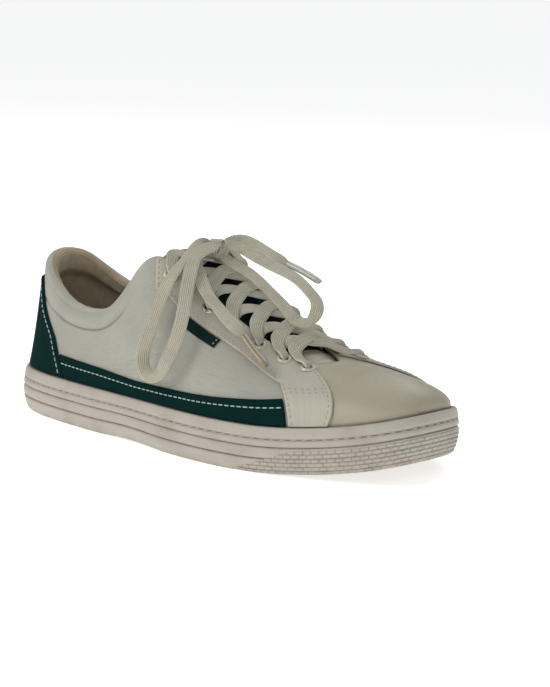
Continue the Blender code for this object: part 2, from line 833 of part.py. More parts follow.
def build_eyelet(name, side, number, finish):
    """One eyelet: a rim on the eyestay and a barrel down through its hole."""
    place, out, ahead = eyelet_frame(side, number)
    across = out.cross(ahead)
    seat = OVERLAY_SEAT + OVERLAY + 2 * GAP
    barrel = EYELET_HOLE - GAP
    bore = barrel - EYELET_THICKNESS
    profile = (
        (bore, seat + EYELET_THICKNESS),
        (EYELET_RIM, seat),
        (barrel, seat),
        (barrel, 0.0),
    )
    sides = 8
    points = []
    for radius, height in profile:
        for k in range(sides):
            turn = 2 * math.pi * k / sides
            spoke = ahead * math.cos(turn) + across * math.sin(turn)
            points.append(place + spoke * radius + out * height)
    return add(name, points, ring_faces(len(profile), sides, closed=True), finish)


def build_label(finish):
    """The small woven label under the lower edge of the lateral eyestay, left bare."""
    shares = np.linspace(LABEL_FIRST, LABEL_LAST, 6)
    rings = np.array([ring_at(-1, share) for share in shares])
    below = [eyestay_width(share) + 2 * GAP for share in shares]
    tops = [rise_from_edge(ring, start) for ring, start in zip(rings, below)]
    low_rings = [ring_at(-1, share - LABEL_LEAN) for share in shares]
    bottoms = [rise_from_edge(ring, start + LABEL_WIDTH) for ring, start in zip(low_rings, below)]
    places = np.stack([np.stack([low_rings, bottoms], -1), np.stack([rings, tops], -1)])
    return sheet("side_label", places, everywhere(places), GAP, GAP + LABEL_THICKNESS, finish)


def throat_row(share, wing):
    """A cross row under the throat at a share: both wings, both edges and the crown between."""
    under = -(WALL + TONGUE_CLEARANCE)
    rows = []
    for side in (-1, 1):
        ring = ring_at(side, share)
        places = [rise_from_edge(ring, wing * part) for part in (1.0, 0.5, 0.0)]
        rows.append([surface(ring, rise, under) for rise in places])
    lateral, medial = rows[0], rows[1][::-1]
    bridge = []
    for part in (0.25, 0.5, 0.75):
        level = lateral[-1] * (1 - part) + medial[0] * part
        bridge.append(level + np.array([0, 0, TONGUE_CROWN * 4 * part * (1 - part)]))
    return np.array([*lateral, *bridge, *medial])


def build_tongue(finish):
    """The tongue, a padded sheet under the eyestays that stands proud at the ankle."""
    shares = np.linspace(TONGUE_TOE, TONGUE_ANKLE, 12)
    widened = ease((TONGUE_TOE - shares) / 0.2)
    wings = TONGUE_WING * (TONGUE_TOE_WING + (1 - TONGUE_TOE_WING) * widened)
    rows = [throat_row(share, wing) for share, wing in zip(shares, wings)]
    ankle = rows[-1]
    back = (rows[-1] - rows[-2]).mean(0)
    back *= TONGUE_TOP / np.linalg.norm(back) * np.array([1, 1, TONGUE_TOP_SLOPE])
    middle = ankle.mean(0)
    for part in (0.35, 0.7, 1.0):
        taper = np.array([1, 1 - TONGUE_TAPER * part**2, 1])
        rows.append(middle + (ankle - middle) * taper + back * part)
    top = np.array(rows)
    down = np.gradient(top, axis=0)
    side = np.gradient(top, axis=1)
    normal = np.cross(side, down)
    normal /= np.linalg.norm(normal, axis=-1)[..., None]
    if normal[..., 2].mean() < 0:
        normal = -normal
    thick = TONGUE * np.array([*TONGUE_EDGE, 1, 1, 1, 1, 1, *TONGUE_EDGE[::-1]])
    bottom = top - normal * thick[None, :, None]
    return slab("tongue", top, bottom, finish)


def slab(name, top, bottom, finish):
    """A closed solid between two grids of points."""
    rows, columns = top.shape[:2]
    count = rows * columns
    faces = []
    for i in range(rows - 1):
        for j in range(columns - 1):
            a = i * columns + j
            loop = (a, a + 1, a + columns + 1, a + columns)
            faces.append(loop)
            faces.append(tuple(k + count for k in loop[::-1]))
    rim = [j for j in range(columns)]
    rim += [i * columns + columns - 1 for i in range(1, rows)]
    rim += [(rows - 1) * columns + j for j in range(columns - 2, -1, -1)]
    rim += [i * columns for i in range(rows - 2, 0, -1)]
    for a, b in zip(rim, rim[1:] + rim[:1]):
        faces.append((b, a, a + count, b + count))
    points = np.concatenate([top.reshape(-1, 3), bottom.reshape(-1, 3)])
    return add(name, points, faces, finish)


def lacing_point(share, across, lift):
    """A point over the throat: across is -1 at the lateral edge and 1 at the medial one.

    Past the edges it is metres out over the eyestay, added to 1. lift is the height over the lace's seat.
    """
    side = -1 if across < 0 else 1
    seat = OVERLAY_SEAT + OVERLAY + LACE_LIFT
    if abs(across) > 1:
        ring = ring_at(side, share)
        rise = rise_from_edge(ring, abs(across) - 1)
        return surface(ring, rise, seat + lift)
    lateral, medial = (opening(ring_at(k, share)) for k in (-1, 1))
    part = (across + 1) / 2
    bridge = lateral * (1 - part) + medial * part
    crown = LACE_CROWN * 4 * part * (1 - part)
    return bridge + np.array([0, 0, seat + crown + lift])


def lace_bar(side, number):
    """The middle line of one bar, from its eyelet over the throat to the far edge."""
    start, target = eyelet_share(number), eyelet_share(number - 1)
    pitch = target - start
    clear = eyelet_inset(number) - EYELET_RIM - LACE_CLEARANCE
    over = LACE_THICKNESS * 0.25 * (1 if side < 0 else -1)
    places = [lacing_point(start, side * (1 + clear), 0.0)]
    places.append(lacing_point(start + 0.05 * pitch, side * (1 + clear / 3), 0.0))
    for part, across, lift in LACE_BAR:
        places.append(lacing_point(start + part * pitch, side * across, over * lift))
    places.append(lacing_point(start + 0.97 * pitch, -side * 0.88, -LACE_DIVE))
    return np.array(places)


def lace_to_knot(side):
    """The middle line of a top bar, from the first eyelet up to the side of the knot."""
    clear = eyelet_inset(0) - EYELET_RIM - LACE_CLEARANCE
    start = lacing_point(eyelet_share(0), side * (1 + clear), 0.0)
    edge = lacing_point(eyelet_share(0) - 0.001, side * 0.88, -0.0001)
    centre = knot_centre()
    under = KNOT_RADIUS * KNOT_SHAPE[2] + 3 * GAP + LACE_THICKNESS / 2
    seat = centre + np.array([-0.001, side * 0.001, -under])
    return np.array([start, edge, edge * 0.7 + seat * 0.3, seat])


def knot_centre():
    """The middle of the knot."""
    return np.array([(KNOT_ALONG - 0.5) * LENGTH, KNOT_ACROSS, KNOT_HEIGHT])


def throat_up():
    """The direction square to the slope of the throat."""
    low, high = (opening(ring_at(-1, share)) for share in (EYELET_LAST, EYELET_FIRST))
    slope = low - high
    return np.array([-slope[2], 0.0, slope[0]]) / math.hypot(slope[0], slope[2])


def ribbon(work, line, width, thickness, up):
    """Adds a closed flat strip along a line of points, its flat side to up."""
    along_line = np.gradient(line, axis=0)
    along_line /= np.linalg.norm(along_line, axis=1)[:, None]
    side = np.cross(along_line, np.array(up, float))
    side /= np.linalg.norm(side, axis=1)[:, None]
    normal = np.cross(side, along_line)
    rings = []
    for point, across, out in zip(line, side, normal):
        corners = ((-0.5, -0.5), (0.5, -0.5), (0.5, 0.5), (-0.5, 0.5))
        ring = [point + across * width * a + out * thickness * b for a, b in corners]
        rings.append([work.verts.new(p) for p in ring])
    for first, second in zip(rings, rings[1:]):
        for k in range(4):
            work.faces.new((first[k], first[(k + 1) % 4], second[(k + 1) % 4], second[k]))
    work.faces.new(rings[0][::-1])
    work.faces.new(rings[-1])


def smooth_line(points, count):
    """A smooth curve through chosen points, read at count places."""
    points = np.asarray(points, float)
    run = np.concatenate([[0], np.cumsum(np.linalg.norm(np.diff(points, axis=0), axis=1))])
    return spline(run, points, np.linspace(0, run[-1], count))


def build_crossings(finish):
    """The lace's bars over the tongue, the lateral and the medial ones joined in one solid."""
    made = []
    up = throat_up()
    for side in (-1, 1):
        work = bmesh.new()
        for number in range(1, EYELETS):
            ribbon(work, smooth_line(lace_bar(side, number), 7), LACE_WIDTH, LACE_THICKNESS, up)
        ribbon(work, smooth_line(lace_to_knot(side), 5), LACE_WIDTH, LACE_THICKNESS, up)
        bmesh.ops.recalc_face_normals(work, faces=work.faces)
        made.append(cutter("lace_crossings" if side < 0 else "medial_bars", work))
    crossings, tool = made
    crossings.hide_render = False
    crossings.display_type = "SOLID"
    crossings.data.materials.append(finish)
    joined = crossings.modifiers.new(tool.name, "BOOLEAN")
    joined.operation = "UNION"
    joined.solver = "EXACT"
    joined.use_self = True
    joined.object = tool


def build_knot(finish):
    """The knot, a squashed ball of wound lace."""
    work = bmesh.new()
    shape = Matrix.Translation(knot_centre()) @ Matrix.Diagonal((*KNOT_SHAPE, 1.0))
    bmesh.ops.create_uvsphere(work, u_segments=12, v_segments=8, radius=KNOT_RADIUS, matrix=shape)
    mesh = bpy.data.meshes.new("lace_knot")
    work.to_mesh(mesh)
    work.free()
    mesh.shade_smooth()
    made = bpy.data.objects.new("lace_knot", mesh)
    bpy.context.collection.objects.link(made)
    made.data.materials.append(finish)


def at_knot(toward):
    """The offset from the knot's middle to a place just off its surface, in a direction."""
    toward = np.asarray(toward, float)
    reach = 1 / np.linalg.norm(toward / (np.array(KNOT_SHAPE) * KNOT_RADIUS))
    return toward * reach + toward / np.linalg.norm(toward) * CORD_STANDOFF


def build_cord(name, finish):
    """One free stretch of lace as a plain tube on its route, a loop or an end."""
    leave, back, chosen = LACE_ROUTES[name]
    route = [at_knot(leave), at_knot(leave) * 1.3, *np.array(chosen)]
    if back:
        route += [at_knot(back) * 1.3, at_knot(back)]
    route = np.array(route)
    length = np.linalg.norm(np.diff(route, axis=0), axis=1).sum()
    points = smooth_line(route, int(length / CORD_STEP) + 1) + knot_centre()
    curve = bpy.data.curves.new(name, "CURVE")
    curve.dimensions = "3D"
    curve.bevel_depth = CORD_RADIUS
    curve.bevel_resolution = 2
    curve.use_fill_caps = True
    line = curve.splines.new("POLY")
    line.points.add(len(points) - 1)
    for place, point in zip(line.points, points):
        place.co = (*point, 1.0)
    curve.materials.append(finish)
    made = bpy.data.objects.new(name, curve)
    bpy.context.collection.objects.link(made)


def build_all():
    """Makes every piece, each with a material of its own."""
    build_sole(material("sole_rubber", RUBBER, 0.55))
    build_upper(material("upper_canvas", CANVAS, 0.9))
    build_insole(material("insole_textile", TEXTILE, 0.9))
    build_tongue(material("tongue_canvas", GREEN, 0.9))
    build_counter(material("counter_canvas", GREEN, 0.9))
    for side, word in ((-1, "lateral"), (1, "medial")):
        build_band("foxing_band_" + word, side, material(f"band_canvas_{word}", GREEN, 0.9))
        build_eyestay("eyestay_" + word, side, material(f"eyestay_leather_{word}", LEATHER, 0.45))
        cut(bpy.data.objects["upper"], bpy.data.objects[f"eyestay_{word}_pins"])
        for number in range(EYELETS):
            name = f"eyelet_{word}_{number + 1}"
            build_eyelet(name, side, number, material(name + "_metal", PAINTED_METAL, 0.4))
    build_label(material("woven_label", GREEN, 0.8))
    build_crossings(material("crossings_cotton", COTTON, 0.9))
    build_knot(material("knot_cotton", COTTON, 0.9))
    for name in LACE_ROUTES:
        build_cord(name, material(name + "_cotton", COTTON, 0.9))


for old in list(bpy.data.objects):
    bpy.data.objects.remove(old, do_unlink=True)
build_all()
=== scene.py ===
"""The looks of a low canvas sneaker, the right shoe of its pair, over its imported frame.

Metres, +Z up, +X to the toe, +Y to the medial side, the origin on the ground under the middle of the
sole. Every curved piece is read from the last: a place on it is a ring share (0 at the back of the heel,
to 0.5 at the toe along the lateral side, to 1 back along the medial side) and a rise share (0 at the
feather edge inside the cup, 1 at the edge of the collar and throat).
"""

from __future__ import annotations

import logging
import math
from collections.abc import Callable, Iterable, Sequence
from dataclasses import dataclass, field
from enum import Enum

import bmesh
import bpy
import numpy as np
from mathutils import Matrix, Vector


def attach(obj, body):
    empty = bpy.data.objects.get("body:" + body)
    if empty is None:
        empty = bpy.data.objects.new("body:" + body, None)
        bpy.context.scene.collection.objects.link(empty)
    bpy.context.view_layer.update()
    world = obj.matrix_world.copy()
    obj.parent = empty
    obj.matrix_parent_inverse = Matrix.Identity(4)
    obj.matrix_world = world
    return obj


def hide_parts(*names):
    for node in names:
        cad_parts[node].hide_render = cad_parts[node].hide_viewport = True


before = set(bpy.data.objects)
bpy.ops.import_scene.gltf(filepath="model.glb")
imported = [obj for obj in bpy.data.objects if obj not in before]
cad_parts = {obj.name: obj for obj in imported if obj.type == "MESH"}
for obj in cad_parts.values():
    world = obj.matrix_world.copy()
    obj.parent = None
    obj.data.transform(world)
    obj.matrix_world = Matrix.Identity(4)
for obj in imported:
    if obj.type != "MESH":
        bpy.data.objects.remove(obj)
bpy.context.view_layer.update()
LOG = logging.getLogger("sneaker")
Grid = np.ndarray
Material, Node, Object = bpy.types.Material, bpy.types.Node, bpy.types.Object
Socket, Tree = bpy.types.NodeSocket, bpy.types.NodeTree
ROOT = "root"
# The real flat lace's width, in metres. The solids' bars are 6.2 mm wide and their free lace is a 3.4 mm cord.
LACE_WIDTH = 0.0068


# Colour and node helpers


def linear(code: str) -> tuple[float, float, float, float]:
    """Turns an sRGB hex colour into linear RGBA.

    Args:
        code: Six hex digits after a #.

    Returns:
        The linear red, green and blue with alpha 1.
    """
    parts = [int(code[i : i + 2], 16) / 255 for i in (1, 3, 5)]
    red, green, blue = (p / 12.92 if p <= 0.04045 else ((p + 0.055) / 1.055) ** 2.4 for p in parts)
    return red, green, blue, 1.0


def node(tree: Tree, kind: str, links: dict | None = None, **settings: object) -> Node:
    """Adds one shader node with its settings and links.

    Args:
        tree: The material's node tree.
        kind: The node's type, as in ShaderNodeMath.
        links: Input name or index to the output socket that feeds it, or to a plain value.
        settings: Attributes of the node.

    Returns:
        The new node.
    """
    made = tree.nodes.new(kind)
    for name, value in settings.items():
        setattr(made, name, value)
    for name, value in (links or {}).items():
        if isinstance(value, Socket):
            tree.links.new(value, made.inputs[name])
        else:
            made.inputs[name].default_value = value
    return made


class Bands(Enum):
    """The direction across which a repeat of threads or ribs runs, in the cloth's own metres."""

    AROUND = "X"
    UPWARD = "Y"


def wave_scale(period: float) -> float:
    """The Wave texture's Scale whose bands repeat at a period in metres."""
    return math.pi / 10 / period


@dataclass(frozen=True)
class Surface:
    """What every finish shares: its node tree's start and its colour, bump, wear and painted shade."""

    name: str
    colour: str
    roughness: float
    ior: float = 1.5

    def start(self) -> tuple[Material, Tree, Node, Socket]:
        """Makes the material with its shader.

        Returns:
            The material, its tree, its shader and the cloth coordinates in metres.
        """
        made = bpy.data.materials.new(self.name)
        made.use_nodes = True
        tree = made.node_tree
        shader = tree.nodes["Principled BSDF"]
        shader.inputs["Base Color"].default_value = linear(self.colour)
        shader.inputs["Roughness"].default_value = self.roughness
        shader.inputs["IOR"].default_value = self.ior
        made.diffuse_color = linear(self.colour)
        return made, tree, shader, node(tree, "ShaderNodeUVMap").outputs["UV"]

    def bands(self, tree: Tree, place: Socket, way: Bands, period: float) -> Socket:
        """A run of soft bands.

        Args:
            tree: The material's node tree.
            place: The coordinates in metres.
            way: The direction across the bands.
            period: The distance between two bands, in metres.

        Returns:
            The socket of the bands' height, 0 to 1.
        """
        links = {"Vector": place, "Scale": wave_scale(period), "Distortion": 0.0}
        return node(tree, "ShaderNodeTexWave", links, bands_direction=way.value).outputs["Fac"]

    def mottle(self, tree: Tree, size: float, detail: float = 3.0) -> Socket:
        """Soft uneven patches of about a size in metres, from the shoe's own coordinates."""
        place = node(tree, "ShaderNodeTexCoord").outputs["Object"]
        links = {"Vector": place, "Scale": 1 / size, "Detail": detail}
        return node(tree, "ShaderNodeTexNoise", links).outputs["Fac"]

    def tint(
        self, tree: Tree, base: object, other: str, amount: Socket, low: float, high: float, most: float
    ) -> Socket:
        """Mixes a second colour in where a mask is high.

        Args:
            tree: The material's node tree.
            base: The colour under it, a socket or linear RGBA.
            other: The second colour, sRGB hex.
            amount: The mask.
            low: The mask's value where the mix starts.
            high: The mask's value where it is full.
            most: How much of the second colour there is where it is full.

        Returns:
            The mixed colour's socket.
        """
        share = node(tree, "ShaderNodeMapRange", {"Value": amount, "From Min": low, "From Max": high, "To Max": most})
        links = {"Factor": share.outputs["Result"], 6: base, 7: linear(other)}
        return node(tree, "ShaderNodeMix", links, data_type="RGBA").outputs[2]

    def worn(self, tree: Tree, base: object, dirt_and_shade: str, most: float) -> Socket:
        """Lays dirt and painted shade in the places that the mesh's mask attribute marks, broken up by patches."""
        mask = node(tree, "ShaderNodeAttribute", attribute_name="grime_and_shade").outputs["Fac"]
        broken = node(tree, "ShaderNodeMath", {0: mask, 1: self.mottle(tree, 0.006, 5.0)}, operation="MULTIPLY")
        return self.tint(tree, base, dirt_and_shade, broken.outputs[0], 0.08, 0.5, most)

    def raise_by(
        self, tree: Tree, shader: Node, height: Socket, depth: float, strength: float
    ) -> None:
        """Puts a bump of a real depth in metres in front of the shader's normal, over any bump before it."""
        links = {"Height": height, "Distance": depth, "Strength": strength}
        before = shader.inputs["Normal"].links
        if before:
            links["Normal"] = before[0].from_socket
        tree.links.new(node(tree, "ShaderNodeBump", links).outputs["Normal"], shader.inputs["Normal"])

    def vary_gloss(
        self, tree: Tree, shader: Node, size: float, less: float, more: float
    ) -> None:
        """Lets the roughness wander in soft patches.

        Args:
            tree: The material's node tree.
            shader: Its shader.
            size: The patches' size, in metres.
            less: How far the roughness falls below its own value.
            more: How far it rises over it.
        """
        limits = {"Value": self.mottle(tree, size), "To Min": self.roughness - less, "To Max": self.roughness + more}
        gloss = node(tree, "ShaderNodeMapRange", limits)
        tree.links.new(gloss.outputs["Result"], shader.inputs["Roughness"])


@dataclass(frozen=True)
class Canvas(Surface):
    """Plain woven cotton canvas: two sets of threads over and under, with slubs and a soft bloom."""

    thread: float = 0.00062
    shade: str = "#8f8b7c"
    # The colour that the mask lays, as dirt and as painted shade.
    dirt_and_shade: str = "#776d58"
    slub: float = 0.5
    bloom: float = 0.12
    gloss: float = 0.25

    def make(self) -> Material:
        """Makes the material.

        Returns:
            The woven material. Warp and weft cross at right angles in the cloth's own metres. A thread is
            drawn at 0.62 mm, a little coarser than the real 0.5 mm, so that the weave shows.
        """
        made, tree, shader, place = self.start()
        warp = self.bands(tree, place, Bands.AROUND, self.thread)
        weft = self.bands(tree, place, Bands.UPWARD, self.thread)
        weave = node(tree, "ShaderNodeMath", {0: warp, 1: weft}, operation="MULTIPLY").outputs[0]
        stretched = node(tree, "ShaderNodeMapping", {"Vector": place, "Scale": (90.0, 1400.0, 1.0)})
        slubs = node(tree, "ShaderNodeTexNoise", {"Vector": stretched.outputs[0], "Scale": 1.0, "Detail": 2.0})
        colour = self.tint(tree, linear(self.colour), self.shade, slubs.outputs["Fac"], 0.5, 0.8, self.slub)
        colour = self.tint(tree, colour, self.shade, self.mottle(tree, 0.02), 0.45, 0.8, self.slub * 0.5)
        colour = self.tint(tree, colour, self.shade, weave, 0.35, 0.0, self.slub * 0.8)
        tree.links.new(self.worn(tree, colour, self.dirt_and_shade, 0.5), shader.inputs["Base Color"])
        self.raise_by(tree, shader, self.mottle(tree, 0.009), 0.0006, 0.5)
        self.raise_by(tree, shader, weave, 0.00022, 0.8)
        shader.inputs["Sheen Weight"].default_value = self.bloom
        shader.inputs["Specular IOR Level"].default_value = self.gloss
        shader.inputs["Sheen Roughness"].default_value = 0.5
        return made


@dataclass(frozen=True)
class Leather(Surface):
    """Smooth corrected-grain leather: fine pebbles, soft pull marks and a low even gloss."""

    grain: float = 0.0008
    shade: str = "#6f6755"
    # The colour that the mask lays, as dirt and as painted shade.
    dirt_and_shade: str = "#5c5240"

    def make(self) -> Material:
        """Makes the material.

        Returns:
            The leather. Its pebbles are 0.8 mm wide and 0.05 mm deep, which break its gloss up a little.
        """
        made, tree, shader, place = self.start()
        pebbles = node(tree, "ShaderNodeTexVoronoi", {"Vector": place, "Scale": 1 / self.grain, "Randomness": 0.9})
        height = pebbles.outputs["Distance"]
        colour = self.tint(tree, linear(self.colour), self.shade, self.mottle(tree, 0.03), 0.45, 0.85, 0.35)
        colour = self.tint(tree, colour, self.shade, height, 0.35, 0.9, 0.12)
        tree.links.new(self.worn(tree, colour, self.dirt_and_shade, 0.55), shader.inputs["Base Color"])
        self.vary_gloss(tree, shader, 0.012, 0.07, 0.1)
        self.raise_by(tree, shader, self.mottle(tree, 0.014, 2.0), 0.0009, 0.45)
        self.raise_by(tree, shader, height, 0.00005, 0.5)
        return made


@dataclass(frozen=True)
class Rubber(Surface):
    """Moulded vulcanised rubber: a fine matt skin from the mould, darker in its grooves with painted shade."""

    # The colour of the specks, and of the mask's dirt and painted shade.
    dirt_and_shade: str = "#6b604e"
    shade: str = "#8b8375"

    def make(self) -> Material:
        """Makes the material.

        Returns:
            The rubber. The mould's matt skin is a bump of 0.25 mm grit, and dirt and painted shade follow the mask.
        """
        made, tree, shader, _ = self.start()
        grit = self.mottle(tree, 0.00025, 2.0)
        colour = self.tint(tree, linear(self.colour), self.shade, self.mottle(tree, 0.018, 6.0), 0.45, 0.8, 0.45)
        colour = self.tint(tree, colour, self.dirt_and_shade, self.mottle(tree, 0.0022, 6.0), 0.64, 0.8, 0.25)
        tree.links.new(self.worn(tree, colour, self.dirt_and_shade, 0.75), shader.inputs["Base Color"])
        self.vary_gloss(tree, shader, 0.01, 0.08, 0.12)
        self.raise_by(tree, shader, grit, 0.00006, 0.6)
        return made


@dataclass(frozen=True)
class Lining(Surface):
    """Knitted polyester lining over foam: small loops in columns, darkened in soft patches, partly as painted shade for
    the dim inside.
    """

    loop: float = 0.0011
    shade: str = "#3d3529"

    def make(self) -> Material:
        """Makes the material.

        Returns:
            The knit. Its loops are 1.1 mm apart round the shoe and 0.9 mm up it.
        """
        made, tree, shader, place = self.start()
        columns = self.bands(tree, place, Bands.AROUND, self.loop)
        courses = self.bands(tree, place, Bands.UPWARD, self.loop * 0.8)
        knit = node(tree, "ShaderNodeMath", {0: columns, 1: courses}, operation="MULTIPLY").outputs[0]
        # Dark patches and the mask's darkening, partly painted shade for the dim inside.
        colour = self.tint(tree, linear(self.colour), self.shade, self.mottle(tree, 0.025, 4.0), 0.42, 0.75, 0.5)
        colour = self.tint(tree, colour, self.shade, knit, 0.3, 0.0, 0.35)
        tree.links.new(self.worn(tree, colour, self.shade, 0.6), shader.inputs["Base Color"])
        self.raise_by(tree, shader, knit, 0.0003, 0.8)
        shader.inputs["Sheen Weight"].default_value = 0.2
        return made


@dataclass(frozen=True)
class Cotton(Surface):
    """Flat tubular cotton lace: ribs along it, fine cross threads and a dry surface."""

    width: float = LACE_WIDTH
    ribs: int = 7
    shade: str = "#77705a"

    def make(self) -> Material:
        """Makes the material.

        Returns:
            The lace's cotton. Seven ribs share its width, and its cross threads are 0.7 mm apart.
        """
        made, tree, shader, place = self.start()
        ribs = self.bands(tree, place, Bands.AROUND, self.width / self.ribs)
        picks = self.bands(tree, place, Bands.UPWARD, 0.0007)
        both = node(tree, "ShaderNodeMath", {0: picks, 1: 0.35, 2: ribs}, operation="MULTIPLY_ADD").outputs[0]
        colour = self.tint(tree, linear(self.colour), self.shade, ribs, 0.4, 0.0, 0.6)
        colour = self.tint(tree, colour, self.shade, picks, 0.3, 0.0, 0.22)
        colour = self.tint(tree, colour, self.shade, self.mottle(tree, 0.012, 4.0), 0.45, 0.8, 0.4)
        tree.links.new(colour, shader.inputs["Base Color"])
        self.raise_by(tree, shader, both, 0.00035, 0.9)
        shader.inputs["Sheen Weight"].default_value = 0.15
        return made


@dataclass(frozen=True)
class Plain(Surface):
    """A small even part: spun thread, enamelled metal or film, with a slight mottle."""

    shade: str = "#4a4438"
    speck: float = 0.0012
    metallic: float = 0.0
    coat: float = 0.0

    def make(self) -> Material:
        """Makes the material.

        Returns:
            The material, its colour and gloss a little uneven at the speck's size.
        """
        made, tree, shader, _ = self.start()
        patch = self.mottle(tree, self.speck, 4.0)
        colour = self.tint(tree, linear(self.colour), self.shade, patch, 0.5, 0.8, 0.35)
        tree.links.new(colour, shader.inputs["Base Color"])
        self.raise_by(tree, shader, patch, 0.00004, 0.5)
        shader.inputs["Metallic"].default_value = self.metallic
        shader.inputs["Coat Weight"].default_value = self.coat
        return made


class Finishes:
    """The shoe's materials, each made once."""

    def __init__(self) -> None:
        """Makes them all."""
        # Woven canvas, matt and slightly grey-white, with the thread's grain visible up close.
        self.quarter = Canvas("woven_cotton_canvas", "#b9b8ae", 0.92, thread=0.0006).make()
        # Dyed canvas, nearly black green and quite matt, so that its weave shows only from close by.
        self.green = Canvas(
            "dyed_green_canvas", "#062322", 0.95, shade="#0b302e", dirt_and_shade="#14302d", slub=0.45, bloom=0.0, gloss=0.05
        ).make()
        # Smooth leather, warmer and glossier than the canvas beside it.
        self.leather = Leather("smooth_cream_leather", "#a9a28d", 0.46).make()
        # The same leather in a whiter cut, as the eyestays are paler than the vamp.
        self.stay = Leather("smooth_white_leather", "#b5b1a3", 0.5).make()
        # Moulded rubber, pinkish off-white and matt.
        self.rubber = Rubber("moulded_rubber", "#b2aba1", 0.6).make()
        # Knitted lining, brown-beige with patches of painted shade, which reads as a dim soft inside.
        self.lining = Lining("knitted_lining", "#c2b293", 0.9).make()
        # Woven cotton lace with clear ribs along it.
        self.lace = Cotton("woven_cotton_lace", "#cec9b5", 0.88).make()
        # Spun polyester thread, pale on the green cloth.
        self.pale_thread = Plain("pale_spun_thread", "#a3b8b1", 0.6, shade="#7f958c").make()
        # Spun thread in the leather's own cream.
        self.cream_thread = Plain("cream_spun_thread", "#a59f8c", 0.65, shade="#837c68").make()
        # Enamelled brass, a hard small highlight on each eyelet.
        self.enamel = Plain("enamelled_brass", "#bcb7a6", 0.32, shade="#8c846e", coat=0.3).make()
        # Bare nickel where the enamel has worn off.
        self.nickel = Plain("worn_nickel", "#c9c6bf", 0.25, shade="#9a9790", metallic=1.0).make()
        # Acetate film over the lace's tips.
        self.tan_film = Plain("amber_acetate_film", "#8d7f66", 0.25, shade="#6e6048", coat=0.4).make()
        self.clear_film = Plain("clear_acetate_film", "#a9aaa4", 0.18, shade="#7e7f79", coat=0.6).make()
        # Plain damask tape, dense and a little glossier than the canvas.
        self.tape = Canvas(
            "woven_damask_tape", "#061e1d", 0.7, thread=0.0004, shade="#0d2e2b", dirt_and_shade="#122e2b", slub=0.35,
            bloom=0.0, gloss=0.1,
        ).make()


# The form: the same driving sizes and tables as the solids have, so that every piece lies on them


def ease(share: Grid | float) -> Grid:
    """0 to 1 with level ends."""
    share = np.clip(share, 0, 1)
    return share * share * (3 - 2 * share)


def spline(knots: Grid, values: Grid, at: Grid, closed: bool = False) -> Grid:
    """The cubic curve through values at knots.

    Args:
        knots: The curve's parameter at each value.
        values: A row for each knot.
        at: Where to read the curve.
        closed: Whether its last row joins its first smoothly.

    Returns:
        A row for each place of at.
    """
    knots, values = np.asarray(knots, float), np.asarray(values, float)
    last = len(knots) - 1
    steps = np.diff(knots)
    slopes = np.diff(values, axis=0) / steps[:, None]
    matrix = np.zeros((last + 1, last + 1))
    right = np.zeros((last + 1, values.shape[1]))
    for i in range(1, last):
        matrix[i, i - 1 : i + 2] = steps[i - 1], 2 * (steps[i - 1] + steps[i]), steps[i]
        right[i] = 6 * (slopes[i] - slopes[i - 1])
    matrix[0, 0] = matrix[last, last] = 1
    if closed:
        matrix[0, last] = -1
        matrix[last, [0, 1, last - 1]] = 2 * steps[0], steps[0], steps[-1]
        matrix[last, last] = 2 * steps[-1]
        right[last] = 6 * (slopes[0] - slopes[-1])
    bend = np.linalg.solve(matrix, right)
    at = np.asarray(at, float)
    i = np.clip(np.searchsorted(knots, at, side="right") - 1, 0, last - 1)
    left, ahead, step = (at - knots[i])[..., None], (knots[i + 1] - at)[..., None], steps[i][..., None]
    curve = (bend[i] * ahead**3 + bend[i + 1] * left**3) / (6 * step)
    curve += (values[i] / step - bend[i] * step / 6) * ahead
    return curve + (values[i + 1] / step - bend[i + 1] * step / 6) * left


def unit(vectors: Grid) -> Grid:
    """Each vector at length 1."""
    return vectors / np.maximum(np.linalg.norm(vectors, axis=-1, keepdims=True), 1e-12)


def run_along(line: Grid) -> Grid:
    """How far along a line each of its points lies, in metres."""
    return np.concatenate([[0], np.cumsum(np.linalg.norm(np.diff(line, axis=0), axis=1))])


def smooth_line(points: Sequence, count: int) -> Grid:
    """A smooth curve through chosen points, read at count even places."""
    points = np.asarray(points, float)
    run = run_along(points)
    curve = spline(run, points, np.linspace(0, run[-1], 8 * count))
    run = run_along(curve)
    at = np.linspace(0, run[-1], count)
    return np.stack([np.interp(at, run, curve[:, k]) for k in range(3)], -1)


class Side(Enum):
    """The two sides of the shoe, by the sign of Y."""

    LATERAL = -1
    MEDIAL = 1

    @property
    def word(self) -> str:
        """The side's name as the nodes spell it."""
        return self.name.lower()


